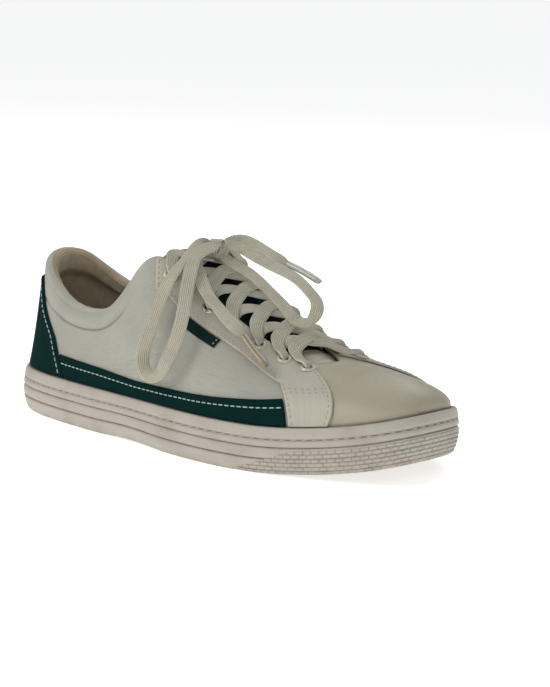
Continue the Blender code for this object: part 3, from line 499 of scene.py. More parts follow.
@dataclass
class Last:
    """The shoe's form, worked out from the driving sizes of the solids."""

    length: float = 0.280
    ball_width: float = 0.104
    toe_offset: float = 0.008
    side_heel: float = 0.0239
    side_toe: float = 0.0232
    toe_spring: float = 0.0115
    spring_run: float = 0.080
    arch_rise: float = 0.0012
    tuck: float = 0.0036
    lip: float = 0.0044
    floor_heel: float = 0.0140
    floor_ball: float = 0.0095
    heel_height: float = 0.0845
    collar_width: float = 0.066
    wall: float = 0.0020
    pad: float = 0.0052
    puff: float = 0.0018
    belly: float = 0.0030
    seam_rise: float = 0.80
    cup_rise: float = 0.10
    gap: float = 0.0003
    pad_fades: float = 0.36
    pad_fade_run: float = 0.09
    puff_starts: float = 0.12
    # Along as a share of the length, lateral and medial half width as shares of the ball's width.
    outline_table: tuple = (
        (0.036, 0.245, 0.226), (0.089, 0.333, 0.308), (0.179, 0.393, 0.351), (0.286, 0.426, 0.330),
        (0.393, 0.452, 0.308), (0.500, 0.483, 0.332), (0.607, 0.505, 0.408), (0.696, 0.492, 0.481),
        (0.768, 0.449, 0.510), (0.839, 0.386, 0.500), (0.911, 0.315, 0.447), (0.957, 0.250, 0.365),
        (0.986, 0.150, 0.250),
    )
    # Ring share of its side, along as a share of the length, half width, height: the opening's edge.
    opening_table: tuple = (
        (0.000, 0.043, 0.000, 1.000), (0.080, 0.062, 0.235, 0.964), (0.140, 0.096, 0.348, 0.882),
        (0.215, 0.168, 0.439, 0.763), (0.300, 0.257, 0.495, 0.722), (0.370, 0.325, 0.500, 0.800),
        (0.420, 0.368, 0.477, 0.970), (0.470, 0.400, 0.432, 1.102), (0.510, 0.428, 0.362, 1.122),
        (0.550, 0.459, 0.297, 1.050), (0.620, 0.529, 0.276, 0.925), (0.690, 0.600, 0.262, 0.802),
        (0.760, 0.664, 0.246, 0.700), (0.840, 0.716, 0.226, 0.628), (0.920, 0.752, 0.160, 0.592),
        (1.000, 0.771, 0.000, 0.596),
    )
    # Ring share of its side, then a rib's handles: rise, push, reach, push, drop.
    rib_table: tuple = (
        (0.000, 0.25, -1.2, 0.15, 0.0, 0.33), (0.140, 0.28, -0.8, 0.22, 0.1, 0.33),
        (0.300, 0.32, 0.2, 0.45, 0.7, 0.33), (0.450, 0.39, 0.6, 0.50, 0.6, 0.24),
        (0.600, 0.37, 0.6, 0.45, 0.0, 0.30), (0.750, 0.41, 0.6, 0.45, 0.0, 0.32),
        (0.850, 0.46, 0.7, 0.48, 0.0, 0.26), (0.920, 0.55, 0.8, 0.50, 0.0, 0.06),
        (1.000, 0.76, 0.9, 0.55, 0.0, -0.10),
    )

    def __post_init__(self) -> None:
        """Works the outline and the closed tables out once."""
        lateral = [(a * self.length, -w * self.ball_width) for a, w, _ in self.outline_table]
        medial = [(a * self.length, w * self.ball_width) for a, _, w in self.outline_table]
        chosen = np.array([(0, 0), *lateral, (self.length, self.toe_offset), *medial[::-1], (0, 0)])
        knots = run_along(chosen)
        points = spline(knots, chosen, np.linspace(0, knots[-1], 1441), closed=True)
        self.edge = points - (points.min(0) + points.max(0)) / 2
        run = run_along(self.edge)
        toe = int(self.edge[:, 0].argmax())
        rest = 0.5 + 0.5 * (run - run[toe]) / (run[-1] - run[toe])
        self.ring = np.where(np.arange(len(run)) <= toe, 0.5 * run / run[toe], rest)
        self.girth = float(run[-1])
        tangent = unit(np.roll(self.edge[:-1], -1, axis=0) - np.roll(self.edge[:-1], 1, axis=0))
        normal = np.stack([tangent[:, 1], -tangent[:, 0]], axis=1)
        self.out = np.concatenate([normal, normal[:1]])
        self.opening_knots, self.opening_rows = self.both_sides(self.opening_table)
        self.opening_rows[: len(self.opening_table), 1] *= -1
        self.rib_knots, self.rib_rows = self.both_sides(self.rib_table)

    def both_sides(self, table: Sequence) -> tuple[Grid, Grid]:
        """A table of one side's shares as a closed one round the ring.

        Args:
            table: Rows that start with the share of one side.

        Returns:
            The ring shares and the rest of each row.
        """
        rows = np.array(table)
        back = rows[::-1][1:]
        return np.concatenate([rows[:, 0] / 2, 1 - back[:, 0] / 2]), np.concatenate([rows[:, 1:], back[:, 1:]])

    def outline(self, ring: Grid, inset: Grid | float = 0.0) -> tuple[Grid, Grid]:
        """The sole's outline from above.

        Args:
            ring: Ring shares.
            inset: How far in from the outline, in metres.

        Returns:
            The points and their outward directions, both in the plane.
        """
        ring = np.mod(ring, 1.0)
        point = np.stack([np.interp(ring, self.ring, self.edge[:, k]) for k in (0, 1)], -1)
        out = unit(np.stack([np.interp(ring, self.ring, self.out[:, k]) for k in (0, 1)], -1))
        return point - out * np.asarray(inset)[..., None], out

    def along(self, x: Grid) -> Grid:
        """How far a place is from the back of the heel, as a share of the length."""
        return x / self.length + 0.5

    def spring(self, x: Grid) -> Grid:
        """How far the toe spring lifts the sole."""
        start = self.length / 2 - self.spring_run
        return self.toe_spring * np.clip((x - start) / self.spring_run, 0, 1) ** 2

    def ground(self, x: Grid) -> Grid:
        """The height of the sole's underside."""
        arch = np.clip((self.along(x) - 0.30) / 0.24, 0, 1)
        return self.spring(x) + self.arch_rise * np.sin(math.pi * arch) ** 2

    def sole_top(self, x: Grid) -> Grid:
        """The height of the sole's top edge."""
        return self.side_heel + (self.side_toe - self.side_heel) * self.along(x) + self.spring(x)

    def cup_floor(self, x: Grid) -> Grid:
        """The height of the cup's floor inside the sole."""
        drop = (self.floor_ball - self.floor_heel) * ease((self.along(x) - 0.2) / 0.45)
        return self.floor_heel + drop + self.spring(x)

    def opening(self, ring: Grid) -> Grid:
        """The edge of the collar and throat."""
        share = spline(self.opening_knots, self.opening_rows, np.mod(ring, 1.0), closed=True)
        shift = self.toe_offset * np.clip(2 * share[..., 0] - 1, 0, 1) ** 2
        x = (share[..., 0] - 0.5) * self.length
        return np.stack([x, share[..., 1] * self.collar_width + shift, share[..., 2] * self.heel_height], -1)

    def form(self, ring: Grid, rise: Grid) -> Grid:
        """The outside of the upper without padding or creases.

        Args:
            ring: Ring shares.
            rise: Rise shares.

        Returns:
            The points.
        """
        ring, rise = np.broadcast_arrays(np.asarray(ring, float), np.asarray(rise, float))
        foot, out = self.outline(ring, self.lip + self.gap)
        feather = np.concatenate([foot, (self.cup_floor(foot[..., 0]) + self.gap)[..., None]], -1)
        base = np.concatenate([foot, (self.sole_top(foot[..., 0]) + self.gap)[..., None]], -1)
        out = np.concatenate([out, np.zeros_like(out[..., :1])], -1)
        edge = self.opening(ring)
        share = spline(self.rib_knots, self.rib_rows, np.mod(ring, 1.0), closed=True)
        rise_1, push_1, reach, push_2, drop = (share[..., k][..., None] for k in range(5))
        tall = (edge - base)[..., 2:] * np.array([0, 0, 1.0])
        run = (base - edge) * np.array([1.0, 1.0, 0])
        first = base + tall * rise_1 + out * push_1 * self.belly
        second = edge + run * reach + out * push_2 * self.belly - tall * drop
        t = np.clip((rise - self.cup_rise) / (1 - self.cup_rise), 0, 1)[..., None]
        curve = base * (1 - t) ** 3 + 3 * first * t * (1 - t) ** 2 + 3 * second * t**2 * (1 - t) + edge * t**3
        return curve + (feather - base) * np.clip(1 - rise / self.cup_rise, 0, 1)[..., None]

    def normal(self, ring: Grid, rise: Grid) -> Grid:
        """The outward direction of the upper's outside."""
        ring, rise = np.broadcast_arrays(np.asarray(ring, float), np.asarray(rise, float))
        step = 1e-4
        low, high = np.maximum(rise - step, 0), np.minimum(rise + step, 1)
        across = self.form(ring + step, rise) - self.form(ring - step, rise)
        out = np.cross(across, self.form(ring, high) - self.form(ring, low))
        out[..., 2] *= np.clip(rise / self.cup_rise - 1, 0, 1)
        return unit(out)

    def side_share(self, ring: Grid) -> Grid:
        """The ring share counted from the heel on its own side, 0 to 1."""
        ring = np.mod(ring, 1.0)
        return 2 * np.minimum(ring, 1 - ring)

    def pad_fade(self, ring: Grid) -> Grid:
        """1 round the heel, falling to 0 where the collar's padding ends."""
        return 1 - ease((self.side_share(ring) - self.pad_fades) / self.pad_fade_run)

    def surface(self, ring: Grid, rise: Grid, offset: Grid | float = 0.0) -> Grid:
        """The upper's outside with its padding, moved out by an offset.

        Args:
            ring: Ring shares.
            rise: Rise shares.
            offset: How far out, in metres.

        Returns:
            The points.
        """
        ring, rise = np.broadcast_arrays(np.asarray(ring, float), np.asarray(rise, float))
        fade = ease((self.side_share(ring) - self.puff_starts) / self.puff_starts) * self.pad_fade(ring)
        swell = np.clip((rise - self.seam_rise) / (1 - self.seam_rise), 0, 1)
        push = np.asarray(self.puff * fade * np.sin(math.pi * swell) ** 0.7 + offset)[..., None]
        return self.form(ring, rise) + self.normal(ring, rise) * push

    def thickness(self, ring: Grid, rise: Grid) -> Grid:
        """The upper's thickness at a place."""
        swell = (np.asarray(rise) - self.seam_rise) / (0.45 * (1 - self.seam_rise))
        return self.wall + self.pad * self.pad_fade(ring) * ease(swell)

    def rise_at_height(self, ring: float, height: float) -> float:
        """The rise share at which the rib at ring reaches a height."""
        shares = np.linspace(0, 1, 101)
        return float(np.interp(height, np.maximum.accumulate(self.form(ring, shares)[:, 2]), shares))

    def rise_from_edge(self, ring: float, distance: float) -> float:
        """The rise share that lies a distance down the rib from the opening's edge."""
        shares = np.linspace(1, 0, 101)
        points = self.form(ring, shares)
        run = run_along(points)
        return float(np.interp(distance, run, shares))

    def over_sole(self, ring: float) -> float:
        """The rise share just over the sole's top edge."""
        return self.rise_at_height(ring, self.sole_top(self.form(ring, 0.2)[0]) + self.gap)

    def foot_ring(self, side: Side, place: float) -> float:
        """The ring share at which the outline passes a share of the length on one side."""
        half = self.ring <= 0.5 if side is Side.LATERAL else self.ring >= 0.5
        points, shares = self.edge[half], self.ring[half]
        order = np.argsort(points[:, 0])
        return float(np.interp((place - 0.5) * self.length, points[order, 0], shares[order]))

    def ring_at(self, side: Side, share: Grid | float) -> Grid | float:
        """The ring share of a share counted from the heel along one side."""
        return share / 2 if side is Side.LATERAL else 1 - share / 2


LAST = Last()


# Mesh helpers


@dataclass
class Shell:
    """A closed solid between two grids of points, the common form of every sewn piece."""

    name: str
    top: Grid
    bottom: Grid
    cells: Grid | None = None
    cloth: Grid | None = None
    grime_and_shade: Grid | None = None

    def build(self) -> Object:
        """Makes the mesh object.

        Returns:
            The object, facing out and smooth, with cloth coordinates in metres.
        """
        rows, columns = self.top.shape[:2]
        count = rows * columns
        here = np.ones((rows - 1, columns - 1), bool) if self.cells is None else self.cells
        faces: list[tuple[int, ...]] = []
        edges: set[tuple[int, int]] = set()
        for i, j in zip(*np.nonzero(here)):
            a = int(i * columns + j)
            loop = (a, a + 1, a + columns + 1, a + columns)
            faces.append(loop)
            faces.append(tuple(k + count for k in loop[::-1]))
            edges.update(zip(loop, loop[1:] + loop[:1]))
        faces += [(b, a, a + count, b + count) for a, b in edges if (b, a) not in edges]
        points = np.concatenate([self.top.reshape(-1, 3), self.bottom.reshape(-1, 3)])
        cloth = plane_of(self.top) if self.cloth is None else self.cloth
        grime_and_shade = np.zeros(rows * columns) if self.grime_and_shade is None else self.grime_and_shade.ravel()
        return mesh_object(self.name, points, faces, np.tile(cloth.reshape(-1, 2), (2, 1)), np.tile(grime_and_shade, 2))


def plane_of(grid: Grid) -> Grid:
    """Cloth coordinates in metres for a grid of points: across it, then along it."""
    rows, columns = grid.shape[:2]
    return np.stack(np.meshgrid(run_along(grid[rows // 2]), run_along(grid[:, columns // 2])), -1)


def ring_net(rows: int, columns: int, joined: bool = False) -> list[tuple[int, ...]]:
    """The faces between rows of points that each go round.

    Args:
        rows: How many rows there are.
        columns: How many points each row has.
        joined: Whether the last row also joins the first.

    Returns:
        The faces, as point numbers.
    """
    pairs = [(i * columns, (i + 1) % rows * columns) for i in range(rows if joined else rows - 1)]
    steps = [(j, (j + 1) % columns) for j in range(columns)]
    return [(low + j, low + k, high + k, high + j) for low, high in pairs for j, k in steps]


def end_caps(rows: int, columns: int) -> list[tuple[int, ...]]:
    """The two faces that close a tube of rows of points."""
    return [tuple(range(columns - 1, -1, -1)), tuple((rows - 1) * columns + k for k in range(columns))]


def join(made: Sequence[Object]) -> Object:
    """Joins pieces into the first of them."""
    with bpy.context.temp_override(active_object=made[0], selected_editable_objects=made, selected_objects=made):
        bpy.ops.object.join()
    return made[0]


def mesh_object(
    name: str, points: Grid, faces: Sequence, cloth: Grid | None = None, grime_and_shade: Grid | None = None
) -> Object:
    """Makes an object from points and faces.

    Args:
        name: The object's name.
        points: Its points, in metres.
        faces: Its faces, as point numbers.
        cloth: Cloth coordinates for each point, in metres.
        grime_and_shade: How much dirt and painted shade each point takes, 0 to 1.

    Returns:
        The object, facing out and smooth up to 40 degrees.
    """
    used = np.unique(np.concatenate([np.asarray(f) for f in faces]))
    number = np.full(len(points), -1)
    number[used] = np.arange(len(used))
    mesh = bpy.data.meshes.new(name)
    mesh.from_pydata(points[used].tolist(), [], [tuple(int(number[k]) for k in f) for f in faces])
    work = bmesh.new()
    work.from_mesh(mesh)
    bmesh.ops.recalc_face_normals(work, faces=work.faces)
    work.to_mesh(mesh)
    work.free()
    if cloth is not None:
        layer = mesh.uv_layers.new(name="UVMap")
        corners = np.empty(len(mesh.loops), np.int32)
        mesh.loops.foreach_get("vertex_index", corners)
        layer.data.foreach_set("uv", cloth[used][corners].astype(np.float32).ravel())
    marks = mesh.attributes.new("grime_and_shade", "FLOAT", "POINT")
    marks.data.foreach_set("value", (np.zeros(len(used)) if grime_and_shade is None else grime_and_shade[used]).astype(np.float32))
    mesh.shade_smooth()
    mesh.set_sharp_from_angle(angle=math.radians(40))
    made = bpy.data.objects.new(name, mesh)
    bpy.context.scene.collection.objects.link(made)
    return made


def place_piece(
    piece: Object, finish: Material | Iterable[Material], nodes: Sequence[str] = ()
) -> Object:
    """Dresses a piece, lets it ride and hides the CAD nodes that it stands for.

    Args:
        piece: The object.
        finish: Its material, or the materials of its slots in order.
        nodes: The CAD nodes that it replaces.

    Returns:
        The same object.
    """
    for each in [finish] if isinstance(finish, Material) else finish:
        piece.data.materials.append(each)
    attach(piece, ROOT)
    if nodes:
        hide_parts(*nodes)
    LOG.info("%s", piece.name)
    return piece


def rounded(top: Grid, cells: Grid | None, radius: float) -> Grid:
    """How full the thickness of a patch is near its border, for a soft edge.

    Args:
        top: The patch's grid of points.
        cells: Which of its squares are there.
        radius: The edge's radius in metres.

    Returns:
        A share for each point, 0.25 at the border to 1.
    """
    rows, columns = top.shape[:2]
    here = np.ones((rows - 1, columns - 1), bool) if cells is None else cells
    around = np.zeros((rows + 1, columns + 1), int)
    around[1:-1, 1:-1] = here
    count = around[1:, 1:] + around[:-1, 1:] + around[1:, :-1] + around[:-1, :-1]
    border = top[(count > 0) & (count < 4)]
    flat = top.reshape(-1, 3)
    near = np.full(len(flat), 1.0)
    for start in range(0, len(flat), 2000):
        piece = flat[start : start + 2000]
        near[start : start + 2000] = np.sqrt(((piece[:, None] - border[None]) ** 2).sum(-1).min(1))
    share = np.clip(near / radius, 0, 1)
    return (0.25 + 0.75 * np.sqrt(1 - (1 - share) ** 2)).reshape(rows, columns)


@dataclass(frozen=True)
class Crease:
    """One crease: a soft trough, or a ridge where its depth is below 0.

    Each end is a side, a share along it from the heel and a rise share. Width and depth are in metres.
    """

    side: Side
    start: tuple[float, float]
    end: tuple[float, float]
    width: float
    depth: float


# The main creases, from the heel to the toe.
CREASES = (
    Crease(Side.LATERAL, (0.585, 0.60), (0.545, 0.20), 0.0075, 0.0016),
    Crease(Side.LATERAL, (0.625, 0.60), (0.590, 0.20), 0.0080, -0.0010),
    Crease(Side.LATERAL, (0.50, 0.66), (0.47, 0.28), 0.0080, 0.0008),
    Crease(Side.LATERAL, (0.43, 0.78), (0.49, 0.42), 0.0060, 0.0009),
    Crease(Side.LATERAL, (0.30, 0.76), (0.43, 0.70), 0.0045, 0.0008),
    Crease(Side.LATERAL, (0.20, 0.60), (0.36, 0.48), 0.0090, 0.0007),
    Crease(Side.LATERAL, (0.20, 0.90), (0.25, 0.99), 0.0040, 0.0006),
    Crease(Side.LATERAL, (0.33, 0.88), (0.36, 0.99), 0.0040, 0.0007),
    Crease(Side.MEDIAL, (0.58, 0.62), (0.53, 0.22), 0.0080, 0.0013),
    Crease(Side.MEDIAL, (0.47, 0.76), (0.50, 0.36), 0.0065, 0.0009),
    Crease(Side.MEDIAL, (0.24, 0.66), (0.40, 0.52), 0.0085, 0.0008),
    Crease(Side.MEDIAL, (0.31, 0.88), (0.35, 0.99), 0.0040, 0.0007),
    Crease(Side.LATERAL, (0.905, 0.92), (0.900, 0.45), 0.0050, 0.0005),
    Crease(Side.LATERAL, (0.945, 0.80), (0.935, 0.42), 0.0065, 0.0004),
    Crease(Side.MEDIAL, (0.905, 0.90), (0.900, 0.50), 0.0055, 0.0005),
)


def creased(points: Grid, normals: Grid) -> Grid:
    """How far the creases push each point out, in metres.

    Args:
        points: The outside's points.
        normals: Their outward directions.

    Returns:
        A push for each point.
    """
    push = np.zeros(points.shape[:-1])
    for crease in CREASES:
        ends = [LAST.surface(LAST.ring_at(crease.side, share), rise) for share, rise in (crease.start, crease.end)]
        line = ends[1] - ends[0]
        part = np.clip(((points - ends[0]) @ line) / (line @ line), 0, 1)
        away = np.linalg.norm(points - (ends[0] + part[..., None] * line), axis=-1)
        faces_same = np.clip(normals[..., 1] * crease.side.value + 0.6, 0, 1)
        fade = 0.35 + 0.65 * np.sin(math.pi * np.clip(part, 0.02, 0.98))
        push -= crease.depth * fade * faces_same * np.exp(-((away / crease.width) ** 2))
    return push


def on_upper(ring: Grid, rise: Grid, offset: Grid | float = 0.0) -> Grid:
    """The upper's outside with its creases, moved out by an offset.

    Args:
        ring: Ring shares.
        rise: Rise shares.
        offset: How far out, in metres.

    Returns:
        The points.
    """
    ring, rise = np.broadcast_arrays(np.asarray(ring, float), np.asarray(rise, float))
    points, normals = LAST.surface(ring, rise), LAST.normal(ring, rise)
    return points + normals * (creased(points, normals) + offset)[..., None]


# The sub-assemblies


@dataclass
class Sole:
    """The cupsole: ribbed side with a brick lattice at the toe, stitched groove, cup and grooved tread."""

    rear_columns: int = 400
    toe_columns: int = 560
    lattice_from: float = 0.66
    brick_length: float = 0.0042
    brick_height: float = 0.0021
    brick_depth: float = 0.0006
    lug_width: float = 0.0026
    lug_depth: float = 0.0014
    lug_margin: float = 0.012
    lug_pitch: float = 0.0095
    stitch_pitch: float = 0.0056
    # Height as a share of the side's height, inset as a share of the tuck.
    side: tuple = (
        (0.000, 1.00), (0.018, 0.82), (0.040, 0.66), (0.090, 0.50), (0.140, 0.38), (0.220, 0.22), (0.295, 0.10),
        (0.315, 0.18), (0.335, 0.44), (0.355, 0.18), (0.375, 0.06), (0.420, 0.01), (0.460, 0.00), (0.510, 0.02),
        (0.545, 0.08), (0.563, 0.18), (0.583, 0.42), (0.603, 0.18), (0.625, 0.08), (0.670, 0.08), (0.712, 0.13),
        (0.730, 0.22), (0.750, 0.50), (0.770, 0.28), (0.790, 0.20), (0.850, 0.24), (0.900, 0.32), (0.950, 0.40),
        (0.980, 0.52), (1.000, 0.70),
    )
    # The heights of the three grooves, and of the thread in the top one, as shares of the side's height.
    grooves: tuple = (0.335, 0.583, 0.75)
    thread_height: float = 0.752
    # Where each run of lugs starts, as a share of the length, and how many lugs it has.
    lug_runs: tuple = ((0.10, 6), (0.58, 7))

    def columns(self) -> Grid:
        """The ring shares of the wall's columns, close together round the toe."""
        start = self.lattice_from / 2
        rear = np.linspace(1 - start, 1 + start, self.rear_columns, endpoint=False)
        toe = np.linspace(start, 1 - start, self.toe_columns, endpoint=False)
        return np.concatenate([toe, np.mod(rear, 1.0)])

    def zone(self, share: Grid, height: Grid | float) -> Grid:
        """How far a place is inside the toe's lattice, whose rear edge slants forward as it rises."""
        slant = 0.10 * np.clip((height - 0.05) / 0.48, 0, 1)
        return ease((share - self.lattice_from - slant) / 0.008)

    def lattice(self, ring: Grid, height: Grid, run: Grid) -> Grid:
        """How deep the joints between the toe's small bricks are at a place.

        Args:
            ring: Ring shares.
            height: Shares of the side's height.
            run: Distances along the outline, in metres.

        Returns:
            Depths in metres.
        """
        share = LAST.side_share(ring)
        zone = self.zone(share, height) * ease((0.55 - height) / 0.02)
        tall = height * LAST.side_toe / self.brick_height
        row = np.floor(tall)
        part = run / self.brick_length + 0.5 * np.mod(row, 2)
        upright = np.abs(part - np.round(part)) * self.brick_length
        level = np.abs(tall - np.round(tall)) * self.brick_height
        joint = np.minimum(upright, level)
        return zone * self.brick_depth * (1 - ease(joint / 0.00055))

    def wall(self) -> tuple[Grid, Grid, Grid]:
        """The outside wall and the cup from the ground edge up and over.

        Returns:
            The grid of points, its cloth coordinates and its mask of dirt and painted shade.
        """
        ring = self.columns()
        point, out = LAST.outline(ring)
        table = np.array(self.side)
        plain = table[(table[:, 0] < 0.30) | (table[:, 0] > 0.37)]
        low = np.linspace(0.0, 0.555, 46)
        heights = np.unique(np.concatenate([low, self.grooves[:1], table[table[:, 0] > 0.555, 0]]))
        run = np.interp(ring, LAST.ring, np.linspace(0, LAST.girth, len(LAST.ring)))
        rows, soil_and_shade = [], []
        for height in heights:
            ribbed, smooth = (np.interp(height, t[:, 0], t[:, 1]) * LAST.tuck for t in (table, plain))
            inset = ribbed + (smooth - ribbed) * self.zone(LAST.side_share(ring), height)
            depth = self.lattice(ring, np.full_like(ring, height), run)
            place = point - out * (inset + depth)[:, None]
            ground, top = LAST.ground(place[:, 0]), LAST.sole_top(place[:, 0])
            rows.append(np.concatenate([place, (ground + (top - ground) * height)[:, None]], 1))
            # The mask is painted shade in the grooves and the toe's joints, and rises towards the bottom of the wall.
            groove = sum(math.exp(-(((height - line) / 0.018) ** 2)) for line in self.grooves)
            low_darkening = 0.55 * math.exp(-height / 0.07)
            soil_and_shade.append(np.clip(0.12 + 0.28 * groove + low_darkening + 0.3 * depth / self.brick_depth, 0, 1))
        # The top rim and the cup under the upper take a fixed share of the mask: painted shade where the upper sits.
        cup = [(0.0030, 0.0002), (0.0037, 0.0001), (LAST.lip - 0.0002, -0.0002)]
        for inset, lift in cup:
            place = point - out * inset
            rows.append(np.concatenate([place, (LAST.sole_top(place[:, 0]) + lift - 0.0002)[:, None]], 1))
            soil_and_shade.append(np.full(len(ring), 0.35))
        for share in (0.0, 0.5, 1.0):
            place = point - out * LAST.lip
            top, floor = LAST.sole_top(place[:, 0]) - 0.0006, LAST.cup_floor(place[:, 0])
            rows.append(np.concatenate([place, (top + (floor - top) * share)[:, None]], 1))
            soil_and_shade.append(np.full(len(ring), 0.2))
        grid = np.array(rows)
        cloth = np.stack([np.tile(run, (len(rows), 1)), np.tile(np.arange(len(rows)) * 0.0006, (len(run), 1)).T], -1)
        return grid, cloth, np.array(soil_and_shade)

    def across(self, first: Grid, second: Grid, steps: int) -> Grid:
        """A strip of points from each column to the one over against it."""
        part = np.linspace(0, 1, steps)[:, None, None]
        return first[None] * (1 - part) + second[None] * part

    def tread(self, grid: Grid) -> Grid:
        """Cuts the grooves between the lugs into the underside's points.

        Args:
            grid: The points of the underside.

        Returns:
            The points with their new heights.
        """
        x, y = grid[..., 0], grid[..., 1]
        half = [LAST.ring <= 0.5, LAST.ring >= 0.5]
        edges = [LAST.edge[k][np.argsort(LAST.edge[k][:, 0])] for k in half]
        low, high = (np.interp(x, e[:, 0], e[:, 1]) for e in edges)
        inside = ease((np.minimum(y - low, high - y) - self.lug_margin) / 0.001)
        depth = np.zeros_like(x)
        for start, count in self.lug_runs:
            for i in range(count):
                away = np.abs(x - ((start - 0.5) * LAST.length + i * self.lug_pitch))
                depth = np.maximum(depth, self.lug_depth * (1 - ease((away - self.lug_width / 2 + 0.0004) / 0.0008)))
        fine = 0.00025 * (1 - np.abs(np.sin(math.pi * (x + 0.0016 * np.abs(np.mod(y / 0.006, 2) - 1)) / 0.0032)) ** 0.4)
        grid[..., 2] = LAST.ground(x) + (depth * inside + fine * inside) * (np.minimum(y - low, high - y) > 0.004)
        return grid

    def build(self, finishes: Finishes) -> None:
        """Makes the sole and the thread in its top groove.

        Args:
            finishes: The shoe's materials.
        """
        grid, cloth, soil_and_shade = self.wall()
        rows, columns = grid.shape[:2]
        half = columns // 2
        toe = self.toe_columns // 2
        order = (np.arange(columns) + toe) % columns
        grid, cloth, soil_and_shade = grid[:, order], cloth[:, order], soil_and_shade[:, order]
        faces = ring_net(rows, columns)
        points, plane, dirt_and_shade = [grid.reshape(-1, 3)], [cloth.reshape(-1, 2)], [soil_and_shade.ravel()]
        for row, steps, under in ((0, 36, True), (rows - 1, 5, False)):
            first, second = grid[row, 1:half], grid[row, :half:-1]
            strip = self.across(first, second, steps)[1:-1]
            if under:
                strip = self.tread(strip.copy())
            else:
                strip[..., 2] = LAST.cup_floor(strip[..., 0])
            start = sum(len(p) for p in points)
            inner = start + np.arange(strip.shape[0] * strip.shape[1]).reshape(strip.shape[:2])
            edges = [row * columns + np.arange(*ends) for ends in ((1, half), (columns - 1, half, -1))]
            net = np.concatenate([edges[:1], inner, edges[1:]])
            squares = np.stack([net[:-1, :-1], net[:-1, 1:], net[1:, 1:], net[1:, :-1]], -1)
            faces += [tuple(square) for square in squares.reshape(-1, 4).tolist()]
            for end, tip in ((0, 0), (net.shape[1] - 1, half)):
                fan = [int(v) for v in net[:, end]] + [row * columns + tip]
                faces.append(tuple(fan))
            points.append(strip.reshape(-1, 3))
            plane.append(strip[..., :2].reshape(-1, 2))
            dirt_and_shade.append(np.full(strip.shape[0] * strip.shape[1], 0.7 if under else 0.0))
        made = mesh_object("sole_moulding", np.concatenate(points), faces, np.concatenate(plane), np.concatenate(dirt_and_shade))
        place_piece(made, finishes.rubber, ["sole"])
        self.stitches(finishes)

    def stitches(self, finishes: Finishes) -> None:
        """Lays the thread in the top groove, all round."""
        ring = np.linspace(0, 1, 1401)
        point, out = LAST.outline(ring, 0.36 * LAST.tuck)
        ground, top = LAST.ground(point[:, 0]), LAST.sole_top(point[:, 0])
        line = np.concatenate([point, (ground + (top - ground) * self.thread_height)[:, None]], 1)
        out = np.concatenate([out, np.zeros((len(out), 1))], 1)
        run = StitchRun("sole_stitches", self.stitch_pitch, 0.0034, 0.00048)
        run.sew(line, out)
        place_piece(run.build(), finishes.cream_thread)


@dataclass
class StitchRun:
    """Runs of stitches joined in one mesh, each stitch a short sunk-ended bead of thread."""

    name: str
    pitch: float = 0.0029
    length: float = 0.0021
    radius: float = 0.00034
    points: list = field(default_factory=list)
    faces: list = field(default_factory=list)
    sides: int = 6
    # Along a bead: its radius, and how far it stands out or dips in, as shares of the thread's radius.
    profile: tuple = ((0.45, -0.5), (0.9, 0.35), (1.0, 0.6), (0.9, 0.35), (0.45, -0.5))

    def sew(self, line: Grid, out: Grid) -> None:
        """Adds the stitches of one seam.

        Args:
            line: The seam's points on the surface, in metres.
            out: The outward direction at each.
        """
        run = run_along(line)
        count = max(1, int(run[-1] / self.pitch))
        step = run[-1] / count
        for k in range(count):
            middle = (k + 0.5) * step
            at = middle + np.array([-0.5, -0.3, 0.0, 0.3, 0.5]) * self.length
            if at[0] < 0 or at[-1] > run[-1]:
                continue
            place = np.stack([np.interp(at, run, line[:, i]) for i in range(3)], -1)
            normal = unit(np.stack([np.interp(at, run, out[:, i]) for i in range(3)], -1))
            self.bead(place, normal)

    def bead(self, place: Grid, normal: Grid) -> None:
        """Adds one stitch.

        Args:
            place: Five points along it.
            normal: The outward direction at each.
        """
        ahead = unit(np.gradient(place, axis=0))
        side = unit(np.cross(normal, ahead))
        start = len(self.points)
        for j, (size, lift) in enumerate(self.profile):
            for k in range(self.sides):
                turn = math.tau * k / self.sides
                spoke = side[j] * math.cos(turn) * 1.25 + normal[j] * math.sin(turn)
                self.points.append(place[j] + (spoke * size + normal[j] * lift) * self.radius)
        net = ring_net(len(self.profile), self.sides) + end_caps(len(self.profile), self.sides)
        self.faces += [tuple(start + k for k in face) for face in net]

    def build(self) -> Object:
        """Makes the joined mesh."""
        points = np.array(self.points)
        return mesh_object(self.name, points, self.faces, points[:, :2])


def seam(places: Grid, lift: float) -> tuple[Grid, Grid]:
    """A seam over the upper.

    Args:
        places: Ring and rise shares along it.
        lift: Its height over the upper's outside, in metres.

    Returns:
        Its points and outward directions.
    """
    ring, rise = places[:, 0], places[:, 1]
    return on_upper(ring, rise, lift), LAST.normal(ring, rise)


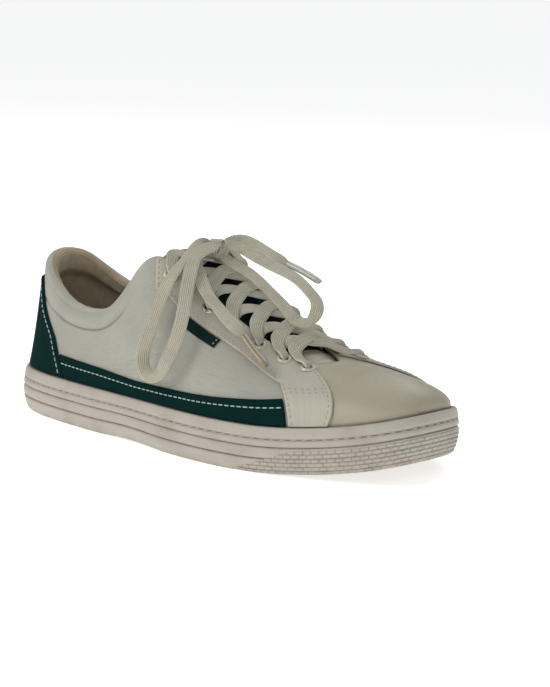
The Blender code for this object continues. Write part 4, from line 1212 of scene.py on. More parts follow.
@dataclass
class Upper:
    """The hollow upper: canvas quarters, leather vamp, padded collar and knitted lining in one shell."""

    columns: int = 320
    # The side share of the seam between quarter and vamp, under the eyestay's tab, at its foot and top.
    vamp_foot: float = 0.826
    vamp_top: float = 0.80
    seam_depth: float = 0.0009

    def rises(self) -> tuple[Grid, Grid]:
        """The rise shares of the outside's and the lining's rows."""
        seam_rise = LAST.seam_rise
        below, over = np.linspace(LAST.cup_rise, seam_rise - 0.006, 40), np.linspace(seam_rise + 0.008, 1.0, 22)
        outer = [[0, 0.05], below, [seam_rise - 0.003, seam_rise, seam_rise + 0.003], over]
        inner = [np.linspace(1.0, seam_rise, 16), np.linspace(seam_rise - 0.03, LAST.cup_rise, 18), [0.0]]
        return np.concatenate(outer), np.concatenate(inner)

    def seam_dip(self, ring: Grid, rise: Grid) -> Grid:
        """How deep the collar's seam is pulled in, in metres."""
        fade = LAST.pad_fade(ring) * ease((LAST.side_share(ring) - 0.06) / 0.05)
        return self.seam_depth * fade * np.exp(-(((rise - LAST.seam_rise) / 0.012) ** 2))

    def build(self, finishes: Finishes) -> None:
        """Makes the shell.

        Args:
            finishes: The shoe's materials.
        """
        ring = np.arange(self.columns) / self.columns
        outer, inner = self.rises()
        rows = [on_upper(ring, rise, -self.seam_dip(ring, np.full_like(ring, rise))) for rise in outer]
        lining = []
        for rise in inner:
            height = np.full_like(ring, rise)
            wave = 0.0003 * LAST.pad_fade(ring) * np.sin(ring * 410) * np.sin(rise * 31)
            lining.append(LAST.surface(ring, rise, wave - LAST.thickness(ring, height)))
        middle, half = (rows[-1] + lining[0]) / 2, (rows[-1] - lining[0]) / 2
        up = unit(LAST.form(ring, 1.0) - LAST.form(ring, 0.99)) * np.linalg.norm(half, axis=1)[:, None]
        turn = [middle + half * math.cos(a) + up * math.sin(a) for a in np.linspace(0, math.pi, 11)[1:-1]]
        grid = np.array([*rows, *turn, *lining])
        count = len(grid)
        run = np.interp(ring, LAST.ring, np.linspace(0, LAST.girth, len(LAST.ring)))
        tall = np.concatenate([[0], np.cumsum(np.linalg.norm(np.diff(grid, axis=0), axis=2).mean(1))])
        cloth = np.stack(np.meshgrid(run, tall), -1)
        soil_and_shade = np.zeros((count, self.columns))
        levels = np.array(outer)[:, None]
        # Painted shade: the mask darkens the quarters and the vamp by the sole and in the collar's seam, and the lining
        # a little all over.
        soil_and_shade[: len(outer)] = 0.55 * np.exp(-np.clip(levels - LAST.cup_rise, 0, 1) / 0.035)
        soil_and_shade[: len(outer)] += 0.5 * (self.seam_dip(ring[None], levels) / self.seam_depth)
        soil_and_shade[len(outer) + len(turn) :] = 0.25
        faces = ring_net(count, self.columns, joined=True)
        made = mesh_object("upper_shell", grid.reshape(-1, 3), faces, cloth.reshape(-1, 2), np.clip(soil_and_shade, 0, 1).ravel())
        place_piece(made, (finishes.quarter, finishes.leather, finishes.lining), ["upper"])
        self.panels(made, ring, outer, len(turn), count)
        EyeletRow.punch(made)

    def panels(self, made: Object, ring: Grid, outer: Grid, turned: int, count: int) -> None:
        """Gives each face the material of its panel.

        Args:
            made: The shell.
            ring: Its columns' ring shares.
            outer: The outside rows' rise shares.
            turned: How many rows turn over the edge.
            count: How many rows there are.
        """
        share = LAST.side_share(ring + 0.5 / self.columns)
        rise = np.concatenate([(outer[:-1] + outer[1:]) / 2, np.full(turned // 2 + 1, 1.0)])
        middle = self.vamp_foot + (self.vamp_top - self.vamp_foot) * rise
        panel = np.full((count, self.columns), 2)
        panel[: len(rise)] = share[None] > middle[:, None]
        made.data.polygons.foreach_set("material_index", panel.ravel().astype(np.int32))
        made.data.update()


@dataclass
class Footbed:
    """The insole: a foam bed under knitted textile, dished at the heel, with a rounded edge."""

    thickness: float = 0.0040
    clearance: float = 0.0006

    def build(self, finishes: Finishes) -> None:
        """Makes the insole.

        Args:
            finishes: The shoe's materials.
        """
        stations = np.linspace(0.004, 0.496, 90)
        across = np.linspace(0, 1, 25)
        inset = LAST.lip + LAST.gap + LAST.wall + self.clearance
        low, _ = LAST.outline(stations, inset)
        high, _ = LAST.outline(1 - stations, inset)
        grid = low[:, None] * (1 - across[None, :, None]) + high[:, None] * across[None, :, None]
        floor = LAST.cup_floor(grid[..., 0]) + LAST.gap
        edge = np.abs(2 * across - 1)[None]
        dish = 0.0012 * edge**2 * ease((0.45 - LAST.along(grid[..., 0])) / 0.3)
        soft = 0.0005 * np.sin(grid[..., 0] * 130) * (1 - edge)
        thick = self.thickness * np.sqrt(np.clip(1 - np.clip((edge - 0.86) / 0.14, 0, 1) ** 2, 0.12, 1))
        top = np.concatenate([grid, (floor + thick + dish * (edge < 0.97) + soft)[..., None]], -1)
        bottom = np.concatenate([grid, floor[..., None]], -1)
        # An even share of the mask darkens the bed in patches: painted shade inside the shoe.
        made = Shell("insole_bed", top, bottom, grime_and_shade=np.full(top.shape[:2], 0.3)).build()
        place_piece(made, finishes.lining, ["insole"])


@dataclass
class Tongue:
    """The padded canvas tongue under the eyestays, standing a little proud at the ankle."""

    thickness: float = 0.0036
    crown: float = 0.0035
    wing: float = 0.010
    toe_wing: float = 0.35
    top_length: float = 0.017
    top_slope: float = 0.3
    taper: float = 0.25
    toe: float = 0.93
    ankle: float = 0.53
    clearance: float = 0.0014

    def row(self, share: float, wing: float) -> Grid:
        """One cross row under the throat.

        Args:
            share: Its share along the sides.
            wing: How far it reaches in under the upper, in metres.

        Returns:
            The points from the lateral to the medial edge.
        """
        under = -(LAST.wall + self.clearance)
        sides = []
        for side in Side:
            ring = LAST.ring_at(side, share)
            rise = np.array([LAST.rise_from_edge(ring, wing * part) for part in np.linspace(1, 0, 7)])
            sides.append(LAST.surface(ring, rise, under))
        lateral, medial = sides[0], sides[1][::-1]
        part = np.linspace(0, 1, 18)[1:-1, None]
        bridge = lateral[-1] * (1 - part) + medial[0] * part
        bridge[:, 2:] += self.crown * 4 * part * (1 - part)
        return np.concatenate([lateral, bridge, medial])

    def build(self, finishes: Finishes) -> None:
        """Makes the tongue.

        Args:
            finishes: The shoe's materials.
        """
        shares = np.linspace(self.toe, self.ankle, 44)
        wings = self.wing * (self.toe_wing + (1 - self.toe_wing) * ease((self.toe - shares) / 0.2))
        rows = [self.row(share, wing) for share, wing in zip(shares, wings)]
        ankle, middle = rows[-1], rows[-1].mean(0)
        back = (rows[-1] - rows[-2]).mean(0)
        back *= self.top_length / np.linalg.norm(back) * np.array([1, 1, self.top_slope])
        for part in np.linspace(0, 1, 13)[1:]:
            rows.append(middle + (ankle - middle) * np.array([1, 1 - self.taper * part**2, 1]) + back * part)
        top = np.array(rows)
        out = unit(np.cross(np.gradient(top, axis=1), np.gradient(top, axis=0)))
        out *= np.sign(out[..., 2].mean())
        full = rounded(top, None, 0.0035)
        run = np.arange(top.shape[0])[:, None] / top.shape[0]
        quilt = 0.0003 * np.sin(run * 60) * (1 - np.abs(np.linspace(-1, 1, top.shape[1])) ** 2)[None]
        bottom = top - out * (self.thickness * full)[..., None]
        top = top - out * (self.thickness * 0.35 * (1 - full) - quilt * full)[..., None]
        made = Shell("tongue_pad", top, bottom, grime_and_shade=np.full(top.shape[:2], 0.15)).build()
        place_piece(made, (finishes.green, finishes.leather), ["tongue"])
        # Ahead of the last eyelets the tongue's root is the vamp's leather, as no green shows there.
        root = LAST.opening(LAST.ring_at(Side.LATERAL, EyeletRow().last))[0] - 0.004
        made.data.polygons.foreach_set("material_index", [int(face.center.x > root) for face in made.data.polygons])
        hem = StitchRun("tongue_stitches")
        for inset in (3, 5):
            hem.sew(top[-inset, 3:-3], out[-inset, 3:-3])
        place_piece(hem.build(), finishes.pale_thread)


@dataclass
class Overlay:
    """What the pieces sewn over the upper share: how high they sit and how thick they are."""

    seat: float = 0.0005
    top: float = 0.0016
    edge: float = 0.0009

    def patch(self, name: str, places: Grid, cells: Grid | None = None, relief: Grid | float = 0.0) -> Shell:
        """A closed patch on the upper with a soft cut edge.

        Args:
            name: The piece's name.
            places: A grid of ring and rise shares.
            cells: Which of its squares are there.
            relief: How far its outside is raised at each place, in metres.

        Returns:
            The patch.
        """
        ring, rise = places[..., 0], places[..., 1]
        full = rounded(on_upper(ring, rise, self.top), cells, self.edge)
        high = self.seat + (self.top - self.seat) * full + relief * full
        # The mask rises towards the rounded edge: painted shade on the leather, which it darkens, and dust on the green
        # cloth, which it lightens.
        grime_and_shade = np.clip(0.7 * (1 - full), 0, 1)
        return Shell(name, on_upper(ring, rise, high), on_upper(ring, rise, self.seat), cells, grime_and_shade=grime_and_shade)


@dataclass
class Eyestay(Overlay):
    """One leather eyestay along the throat with its tab to the sole, stitched round and punched."""

    side: Side = Side.LATERAL
    width: float = 0.0258
    narrowing: float = 0.22
    flare: float = 0.44
    first: float = 0.493
    last: float = 0.885
    margin: float = 0.0012
    tab_rear: float = 0.8045
    tab_front: float = 0.874
    columns: int = 148
    low: int = 40
    strip: int = 30
    # How far in the stitch rows lie from the strip's and the tab's edges, and how deep the thread is drawn in.
    edge_rows: tuple = (0.0017, 0.0037)
    tab_row: float = 0.0022
    sunk: float = 0.00018

    def wide(self, share: float) -> float:
        """How wide the strip is at a share of its side, in metres."""
        narrowed = 1 - self.narrowing * (1 - ease((share - self.first) / 0.06))
        return self.width * narrowed * (1 + self.flare * ease((share - 0.67) / 0.11))

    def places(self) -> tuple[Grid, int]:
        """The grid of ring and rise shares.

        Returns:
            The grid, and the first column of the tab.
        """
        start = 2 * (self.columns - 1) // 3
        shares = np.linspace(self.first, self.last, self.columns)
        foot_ends = [LAST.foot_ring(self.side, place) for place in (self.tab_rear, self.tab_front)]
        feet = np.linspace(*foot_ends, self.columns - start)
        grid = np.zeros((self.low + self.strip, self.columns, 2))
        for k, share in enumerate(shares):
            ring = LAST.ring_at(self.side, share)
            top = (ring, LAST.rise_from_edge(ring, self.margin))
            bottom = LAST.rise_from_edge(ring, self.wide(share))
            foot = (feet[k - start], LAST.over_sole(feet[k - start])) if k >= start else (ring, 0.0)
            low = np.linspace(foot[1], bottom, self.low + 1)[:-1] if k >= start else np.full(self.low, bottom)
            rises = np.concatenate([low, np.linspace(bottom, top[1], self.strip)])
            part = (top[1] - rises) / (top[1] - foot[1])
            grid[:, k] = np.stack([top[0] + (foot[0] - top[0]) * part, rises], -1)
        return grid, start

    def inset(self, lines: Grid, distance: float) -> Grid:
        """The places at a distance in from the first of each line of places.

        Args:
            lines: A row of ring and rise shares for each line.
            distance: How far in, in metres.

        Returns:
            One place for each line.
        """
        found = []
        for line in lines:
            points = LAST.form(line[:, 0], line[:, 1])
            run = run_along(points)
            found.append([np.interp(distance, run, line[:, k]) for k in (0, 1)])
        return np.array(found)

    def build(self, finishes: Finishes) -> None:
        """Makes the eyestay and its stitches.

        Args:
            finishes: The shoe's materials.
        """
        grid, start = self.places()
        cells = np.ones((grid.shape[0] - 1, grid.shape[1] - 1), bool)
        cells[: self.low, :start] = False
        word = self.side.word
        made = self.patch(f"eyestay_leather_{word}", grid, cells).build()
        place_piece(made, finishes.stay, [f"eyestay_{word}"])
        EyeletRow.punch(made)
        run = StitchRun(f"eyestay_stitches_{word}")
        upright = grid.transpose(1, 0, 2)
        lines = [self.inset(upright[1:start, self.low :], distance) for distance in self.edge_rows]
        lines.append(self.inset(grid[1 : self.low + 2, start:], self.tab_row))
        lines.append(self.inset(grid[1:-2, ::-1][:, : self.columns - start], self.tab_row))
        lines.append(self.inset(upright[2:-2, ::-1], self.edge_rows[0]))
        lines.append(self.inset(grid[self.low + 2 : -2], self.edge_rows[0]))
        lines += [grid[row, start + 6 : -5] for row in (self.low - 2, self.low - 6)]
        for line in lines:
            run.sew(*seam(line, self.top - self.sunk))
        place_piece(run.build(), finishes.cream_thread)


@dataclass
class Counter(Overlay):
    """The green heel counter, widest at the sole, with a pale row of stitches inside its edge."""

    top_height: float = 0.0740
    rows: int = 60
    columns: int = 90
    # How far inside its edge the stitches run, as a ring share.
    stitch_in: float = 0.0052
    # Height as a share of the top's height, how far round the heel it reaches as a share of its side.
    reach_table: tuple = ((0.32, 0.243), (0.41, 0.231), (0.60, 0.203), (0.78, 0.158), (0.95, 0.125), (1.00, 0.112))

    def reach(self, height: float) -> float:
        """How far round its side it reaches at a height, as a ring share."""
        table = np.array(self.reach_table)
        return float(np.interp(height / self.top_height, table[:, 0], table[:, 1])) / 2

    def build(self, finishes: Finishes) -> None:
        """Makes the counter and its stitches.

        Args:
            finishes: The shoe's materials.
        """
        heights = np.linspace(LAST.side_heel + LAST.gap, self.top_height, self.rows)
        grid = []
        for height in heights:
            rings = np.linspace(-1, 1, self.columns) * self.reach(height)
            grid.append(np.stack([rings, [LAST.rise_at_height(ring, height) for ring in rings]], -1))
        places = np.array(grid)
        made = self.patch("counter_canvas", places).build()
        place_piece(made, finishes.green, ["heel_counter"])
        run = StitchRun("counter_stitches", 0.0034, 0.0027, 0.00027)
        for sign in (-1, 1):
            line = []
            for height in heights[2:-3]:
                ring = sign * (self.reach(height) - self.stitch_in)
                line.append((ring, LAST.rise_at_height(ring, height)))
            run.sew(*seam(np.array(line), self.top))
        rings = np.linspace(-1, 1, 30) * (self.reach(heights[-4]) - self.stitch_in)
        run.sew(*seam(np.array([(ring, LAST.rise_at_height(ring, heights[-4])) for ring in rings]), self.top))
        place_piece(run.build(), finishes.pale_thread)


@dataclass
class Band(Overlay):
    """One green foxing band over the sole, with a pale row of stitches a third of the way down."""

    side: Side = Side.LATERAL
    columns: int = 190
    rows: int = 16
    stitch_row: int = 10
    # Along as a share of the length, height over the sole's top edge as a share of the side's height.
    top_table: tuple = (
        (0.19, 0.52), (0.32, 0.47), (0.43, 0.39), (0.54, 0.40), (0.64, 0.44), (0.73, 0.50), (0.80, 0.55),
    )

    def build(self, finishes: Finishes) -> None:
        """Makes the band and its stitches.

        Args:
            finishes: The shoe's materials.
        """
        table, counter = np.array(self.top_table), Counter()
        tallest = LAST.side_heel * self.top_table[0][1]
        rear = [LAST.ring_at(self.side, 2 * counter.reach(LAST.side_heel + tallest * part) + 0.004) for part in (0, 1)]
        front = LAST.foot_ring(self.side, Eyestay().tab_rear - 0.004)
        grid = np.zeros((self.rows, self.columns, 2))
        for j in range(self.columns):
            across = j / (self.columns - 1)
            for i in range(self.rows):
                part = i / (self.rows - 1)
                first = rear[0] + (rear[1] - rear[0]) * part
                ring = first + (front - first) * across
                x = LAST.form(ring, 0.3)[0]
                more = float(np.interp(LAST.along(x), table[:, 0], table[:, 1])) * LAST.side_heel
                low, high = LAST.over_sole(ring), LAST.rise_at_height(ring, LAST.sole_top(x) + more)
                grid[i, j] = ring, low + (high - low) * part
        word = self.side.word
        made = self.patch(f"band_canvas_{word}", grid).build()
        place_piece(made, finishes.green, [f"foxing_band_{word}"])
        run = StitchRun(f"band_stitches_{word}", 0.0036, 0.0029, 0.00027)
        run.sew(*seam(grid[self.stitch_row, 1:-1], self.top))
        place_piece(run.build(), finishes.pale_thread)


@dataclass
class Label(Overlay):
    """The small plain woven label under the lateral eyestay's edge, its ends folded in."""

    top: float = 0.0011
    width: float = 0.0083
    first: float = 0.560
    last: float = 0.641
    lean: float = 0.016
    rows: int = 16
    columns: int = 46
    # How far a folded end stands over the rest.
    fold: float = 0.0003

    def build(self, finishes: Finishes) -> None:
        """Makes the label and the stitches at its ends.

        Args:
            finishes: The shoe's materials.
        """
        stay, grid = Eyestay(), np.zeros((self.rows, self.columns, 2))
        for j, share in enumerate(np.linspace(self.first, self.last, self.columns)):
            below = stay.wide(share) + 2 * LAST.gap
            for i, part in enumerate(np.linspace(1, 0, self.rows)):
                ring = LAST.ring_at(Side.LATERAL, share - self.lean * part)
                grid[i, j] = ring, LAST.rise_from_edge(ring, below + self.width * part)
        along = np.arange(self.columns)
        folded = np.minimum(along, along[::-1])[None] < 4
        made = self.patch("label_tape", grid, relief=self.fold * folded * np.ones((self.rows, 1))).build()
        place_piece(made, finishes.tape, ["side_label"])
        run = StitchRun("label_stitches", 0.0018, 0.0013, 0.00022)
        for column in (2, -3):
            run.sew(*seam(grid[1:-1, column], self.top + self.fold))
        place_piece(run.build(), finishes.pale_thread)


@dataclass
class EyeletRow:
    """The seven eyelets of one side: rolled rims on the leather with a barrel down through it."""

    side: Side = Side.LATERAL
    count: int = 7
    first: float = 0.525
    last: float = 0.850
    spread: float = 1.14
    inset: float = 0.0100
    splay: float = 0.0058
    hole: float = 0.0026
    bore: float = 0.0021
    rim: float = 0.0040
    barrel: float = 0.0024
    worn: int = 2

    def share(self, number: int) -> float:
        """The share along its side of an eyelet, 0 the one at the ankle."""
        return self.first + (self.last - self.first) * (number / (self.count - 1)) ** self.spread

    def from_edge(self, number: int) -> float:
        """How far an eyelet lies from the throat's edge, in metres."""
        return self.inset + self.splay * (number / (self.count - 1)) ** 4

    def frame(self, number: int) -> tuple[Grid, Grid, Grid]:
        """Where an eyelet is.

        Args:
            number: 0 for the one at the ankle.

        Returns:
            Its place on the upper, its outward direction and the direction along the throat.
        """
        ring = LAST.ring_at(self.side, self.share(number))
        rise = LAST.rise_from_edge(ring, self.from_edge(number))
        place, out = LAST.form(ring, rise), LAST.normal(ring, rise)
        ahead = LAST.form(ring + 0.001, rise) - place
        return place, out, unit(ahead - out * (ahead @ out))

    def lathe(self, number: int, profile: Sequence, sides: int = 28) -> tuple[Grid, list]:
        """A ring of a profile round an eyelet's axis.

        Args:
            number: Which eyelet.
            profile: Radius and height over the upper of each corner, in metres.
            sides: How many sides it has.

        Returns:
            Its points and faces.
        """
        place, out, ahead = self.frame(number)
        across, turn = np.cross(out, ahead), np.arange(sides) * math.tau / sides
        spoke = ahead * np.cos(turn)[:, None] + across * np.sin(turn)[:, None]
        points = np.concatenate([place + spoke * radius + out * height for radius, height in profile])
        return points, ring_net(len(profile), sides, joined=True)

    def build(self, finishes: Finishes) -> None:
        """Makes the eyelets.

        Args:
            finishes: The shoe's materials.
        """
        top = Overlay().top
        # Radius and height over the upper: out over the rolled rim, back under it and down the barrel.
        profile = (
            (self.bore, top + 0.0004), (self.bore + 0.0003, top + 0.0008), (self.bore + 0.0009, top + 0.00095),
            (self.rim - 0.0007, top + 0.0007), (self.rim - 0.0002, top + 0.0004), (self.rim, top + 0.0001),
            (self.hole - 0.00015, top), (self.hole - 0.0002, -self.barrel), (self.bore, -self.barrel),
        )
        for number in range(self.count):
            points, faces = self.lathe(number, profile)
            made = mesh_object(f"eyelet_ring_{self.side.word}_{number + 1}", points, faces, points[:, :2])
            bare = number == self.worn and self.side is Side.LATERAL
            finish = finishes.nickel if bare else finishes.enamel
            place_piece(made, finish, [f"eyelet_{self.side.word}_{number + 1}"])

    @staticmethod
    def punch(target: Object) -> None:
        """Cuts the eyelets' holes through a piece.

        Args:
            target: The upper or an eyestay.
        """
        points, faces, start = [], [], 0
        reach, sides = 0.006, 16
        for side in Side:
            row = EyeletRow(side)
            for number in range(row.count):
                profile = [(0.00001, reach), (row.hole, reach), (row.hole, -reach), (0.00001, -reach)]
                ring, _ = row.lathe(number, profile, sides)
                points.append(ring)
                net = ring_net(len(profile), sides) + end_caps(len(profile), sides)
                faces += [tuple(k + start for k in face) for face in net]
                start += len(ring)
        pins = mesh_object("pins", np.concatenate(points), faces, np.concatenate(points)[:, :2])
        cut = target.modifiers.new("holes", "BOOLEAN")
        cut.operation, cut.solver, cut.object = "DIFFERENCE", "EXACT", pins
        graph = bpy.context.evaluated_depsgraph_get()
        punched = bpy.data.meshes.new_from_object(target.evaluated_get(graph))
        target.modifiers.clear()
        target.data = punched
        bpy.data.objects.remove(pins, do_unlink=True)


@dataclass
class Ribbon:
    """A flat woven lace on a line: rounded edges, a shallow hollow along it, its real width."""

    name: str
    line: Grid
    up: Grid
    width: Grid | float = LACE_WIDTH
    thickness: Grid | float = 0.0012
    # Its section's upper half from edge to edge, as shares of the width and the thickness.
    across: tuple = (-0.5, -0.47, -0.38, -0.22, 0.0, 0.22, 0.38, 0.47, 0.5)
    height: tuple = (0.0, 0.36, 0.5, 0.49, 0.44, 0.49, 0.5, 0.36)

    def build(self) -> Object:
        """Makes the ribbon.

        Returns:
            The closed mesh, with cloth coordinates across and along it in metres.
        """
        count = len(self.line)
        ahead = unit(np.gradient(self.line, axis=0))
        side = unit(np.cross(ahead, np.broadcast_to(self.up, self.line.shape)))
        out = np.cross(side, ahead)
        width = np.broadcast_to(self.width, count)[:, None, None]
        thick = np.broadcast_to(self.thickness, count)[:, None, None]
        across, height = np.array(self.across), np.array(self.height)
        x = np.concatenate([across, across[-2:0:-1]])
        y = np.concatenate([height, -height[:1], -height[:0:-1]])
        flat, deep = x[None, :, None], y[None, :, None]
        rings = self.line[:, None] + side[:, None] * width * flat + out[:, None] * thick * deep
        run = run_along(self.line)
        cloth = np.stack([np.tile(x, (count, 1)) * LACE_WIDTH, np.tile(run[:, None], (1, len(x)))], -1)
        faces = ring_net(count, len(x)) + end_caps(count, len(x))
        return mesh_object(self.name, rings.reshape(-1, 3), faces, cloth.reshape(-1, 2))


@dataclass
class Lacing:
    """The lace: crossing bars through the eyelets, the knot, two loops and two ends with their tips."""

    width: float = LACE_WIDTH
    bar_width: float = 0.0076
    thickness: float = 0.0012
    crown: float = 0.0022
    lift: float = 0.0026
    knot_along: float = 0.480
    knot_across: float = -0.001
    knot_height: float = 0.0995
    knot_radius: float = 0.0055
    knot_shape: tuple = (1.15, 1.0, 0.8)
    standoff: float = 0.0010
    tip_length: float = 0.022
    tip_radius: float = 0.0019
    # Its widths as it comes up through an eyelet and spreads over the leather.
    spreading: tuple = (0.0028, 0.0031, 0.0046, 0.0062, 0.0067)
    # How far a bar has climbed as a share of the eyelets' pitch, its place across as a share of the half
    # opening, and how much of its lift over or under the crossing bar it has.
    bar_table: tuple = ((0.13, 0.82, 0.0), (0.34, 0.40, 0.9), (0.55, 0.00, 1.0), (0.76, -0.45, 0.2))
    # The free lace's routes as the solids have them: the directions in which it leaves the knot and
    # comes back, and its places as offsets from the knot's middle, in metres. The loops' tips are up to
    # 3 mm off the solids' there, as a limp lace turns in a rounder bend.
    routes: dict = field(
        default_factory=lambda: {
            "lace_loop_lateral": (
                (-1, -9, 4.5), (7, -6, 3),
                (
                    (-0.0005, -0.0180, -0.0015), (0.0045, -0.0330, -0.0085), (0.0040, -0.0400, -0.0170),
                    (0.0030, -0.0455, -0.0295), (0.0008, -0.0490, -0.0420), (-0.0008, -0.0504, -0.0510),
                    (0.0014, -0.0513, -0.0575), (0.0070, -0.0519, -0.0603), (0.0128, -0.0518, -0.0578),
                    (0.0165, -0.0511, -0.0515),
                    (0.0195, -0.0490, -0.0440), (0.0195, -0.0445, -0.0350), (0.0180, -0.0400, -0.0255),
                    (0.0150, -0.0350, -0.0160), (0.0110, -0.0280, -0.0060), (0.0060, -0.0140, 0.0010),
                ),
            ),
            "lace_loop_medial": (
                (9, 0.5, 3), (8, 1, -5),
                (
                    (0.0195, 0.0060, -0.0010), (0.0330, 0.0090, -0.0065), (0.0495, 0.0090, -0.0115),
                    (0.0620, 0.0062, -0.0172), (0.0678, 0.0042, -0.0208), (0.0700, 0.0016, -0.0256),
                    (0.0670, -0.0006, -0.0301), (0.0600, -0.0004, -0.0309), (0.0475, 0.0030, -0.0258),
                    (0.0335, 0.0050, -0.0185),
                    (0.0205, 0.0050, -0.0115),
                ),
            ),
            "lace_end_lateral": (
                (0.2, -9, -1), None,
                (
                    (0.0025, -0.0160, -0.0055), (0.0115, -0.0230, -0.0105), (0.0205, -0.0270, -0.0175),
                    (0.0320, -0.0290, -0.0250), (0.0410, -0.0305, -0.0300), (0.0485, -0.0320, -0.0330),
                    (0.0585, -0.0340, -0.0395), (0.0715, -0.0360, -0.0475),
                ),
            ),
            "lace_end_medial": (
                (6, 6, 4.5), None,
                (
                    (0.0140, 0.0085, 0.0045), (0.0230, 0.0120, 0.0010), (0.0370, 0.0145, -0.0050),
                    (0.0465, 0.0155, -0.0080), (0.0590, 0.0160, -0.0125),
                ),
            ),
        }
    )
    # The way each free stretch shows its flat side, and how far it turns about itself, in degrees.
    faces: dict = field(
        default_factory=lambda: {
            "lace_loop_lateral": ((0.45, -0.85, 0.25), 22.0),
            "lace_loop_medial": ((0.35, -0.45, 0.80), 14.0),
            "lace_end_lateral": ((0.40, -0.60, 0.70), 18.0),
            "lace_end_medial": ((0.30, -0.50, 0.80), 16.0),
        }
    )

    def knot(self) -> Grid:
        """The knot's middle."""
        return np.array([(self.knot_along - 0.5) * LAST.length, self.knot_across, self.knot_height])

    def at_knot(self, toward: Sequence) -> Grid:
        """The offset to a place just off the knot in a direction."""
        toward = np.asarray(toward, float)
        reach = 1 / np.linalg.norm(toward / (np.array(self.knot_shape) * self.knot_radius))
        return toward * reach + unit(toward) * self.standoff

    def throat_up(self) -> Grid:
        """The direction square to the slope of the throat."""
        row = EyeletRow()
        low, high = (LAST.opening(LAST.ring_at(Side.LATERAL, share)) for share in (row.last, row.first))
        slope = low - high
        return unit(np.array([-slope[2], 0.0, slope[0]]))

    def over_throat(self, share: float, across: float, lift: float) -> Grid:
        """A place over the throat, across from -1 at the lateral edge to 1 at the medial one."""
        lateral, medial = (LAST.opening(LAST.ring_at(side, share)) for side in Side)
        part = (across + 1) / 2
        bridge = lateral * (1 - part) + medial * part
        return bridge + np.array([0, 0, self.lift + self.crown * 4 * part * (1 - part) + lift])

    def on_stay(self, side: Side, share: float, distance: float, lift: float) -> Grid:
        """A place over the eyestay at a distance from the throat's edge."""
        ring = LAST.ring_at(side, share)
        return LAST.surface(ring, LAST.rise_from_edge(ring, distance), lift)

    def emerging(self, row: EyeletRow, number: int) -> tuple[list, list]:
        """How the lace comes up through an eyelet and lies down on the leather.

        Args:
            row: The eyelets of its side.
            number: Which eyelet.

        Returns:
            Its first places and its width at each.
        """
        place, out, _ = row.frame(number)
        share, away = row.share(number), row.from_edge(number)
        lying = self.on_stay(row.side, share, away - 0.0050, 0.0026)
        edge = self.on_stay(row.side, share, 0.0012, 0.0025)
        over = self.on_stay(row.side, share, away - 0.0022, 0.0034)
        return [place - out * 0.0016, place + out * 0.0020, over, lying, edge], list(self.spreading)

    def bar(self, side: Side, number: int) -> Object:
        """One bar from its eyelet over the throat and in under the far eyestay.

        Args:
            side: The side that it starts on.
            number: Its eyelet, 1 to the last.

        Returns:
            The ribbon.
        """
        row, far = EyeletRow(side), Side(-side.value)
        start, pitch = row.share(number), row.share(number - 1) - row.share(number)
        over = self.thickness * (0.62 if side is Side.LATERAL else -0.5)
        places, widths = self.emerging(row, number)
        for part, across, lift in self.bar_table:
            places.append(self.over_throat(start + part * pitch, side.value * across, over * lift))
            widths.append(self.bar_width)
        target = start + 0.97 * pitch
        places.append(self.over_throat(target, far.value * 0.90, -0.0030))
        places.append(self.on_stay(far, target - 0.004, 0.0030, -(LAST.wall + 0.0008)))
        widths += [self.bar_width * 0.96, self.bar_width * 0.9]
        return self.ribbon(f"bar_{side.word}_{number + 1}", places, widths, 46)

    def ribbon(self, name: str, places: list, widths: list, count: int) -> Object:
        """A ribbon through places, its flat side to the leather at its start and to the throat's slope."""
        line = smooth_line(places, count)
        run = run_along(np.array(places))
        at = np.linspace(0, 1, count)
        width = np.interp(at, run / run[-1], widths)
        thick = self.thickness * (1 + 0.9 * np.clip((0.0062 - width) / 0.0032, 0, 1))
        return Ribbon(name, line, self.throat_up(), width, thick).build()

    def top_bar(self, side: Side) -> Object:
        """The stretch from the first eyelet up under the knot."""
        row = EyeletRow(side)
        places, widths = self.emerging(row, 0)
        under = self.knot_radius * self.knot_shape[2] + 0.0003
        seat = self.knot() + np.array([-0.001, side.value * 0.001, -under])
        edge = self.over_throat(row.share(0) - 0.001, side.value * 0.86, 0.0006)
        places += [edge, edge * 0.62 + seat * 0.38, seat]
        widths += [self.width] * 3
        return self.ribbon(f"bar_{side.word}_1", places, widths, 36)

    def cord_line(self, name: str) -> Grid:
        """The centreline of a free stretch, through the places of its route."""
        leave, back, chosen = self.routes[name]
        route = [self.at_knot(leave), self.at_knot(leave) * 1.3, *np.array(chosen)]
        if back:
            route += [self.at_knot(back) * 1.3, self.at_knot(back)]
        return smooth_line(route, 150) + self.knot()

    def build_bars(self, finishes: Finishes) -> None:
        """Makes the crossing bars as one piece."""
        made = [self.bar(side, number) for side in Side for number in range(1, EyeletRow().count)]
        made += [self.top_bar(side) for side in Side]
        bars = join(made)
        bars.name = "lace_bars"
        place_piece(bars, finishes.lace, ["lace_crossings"])

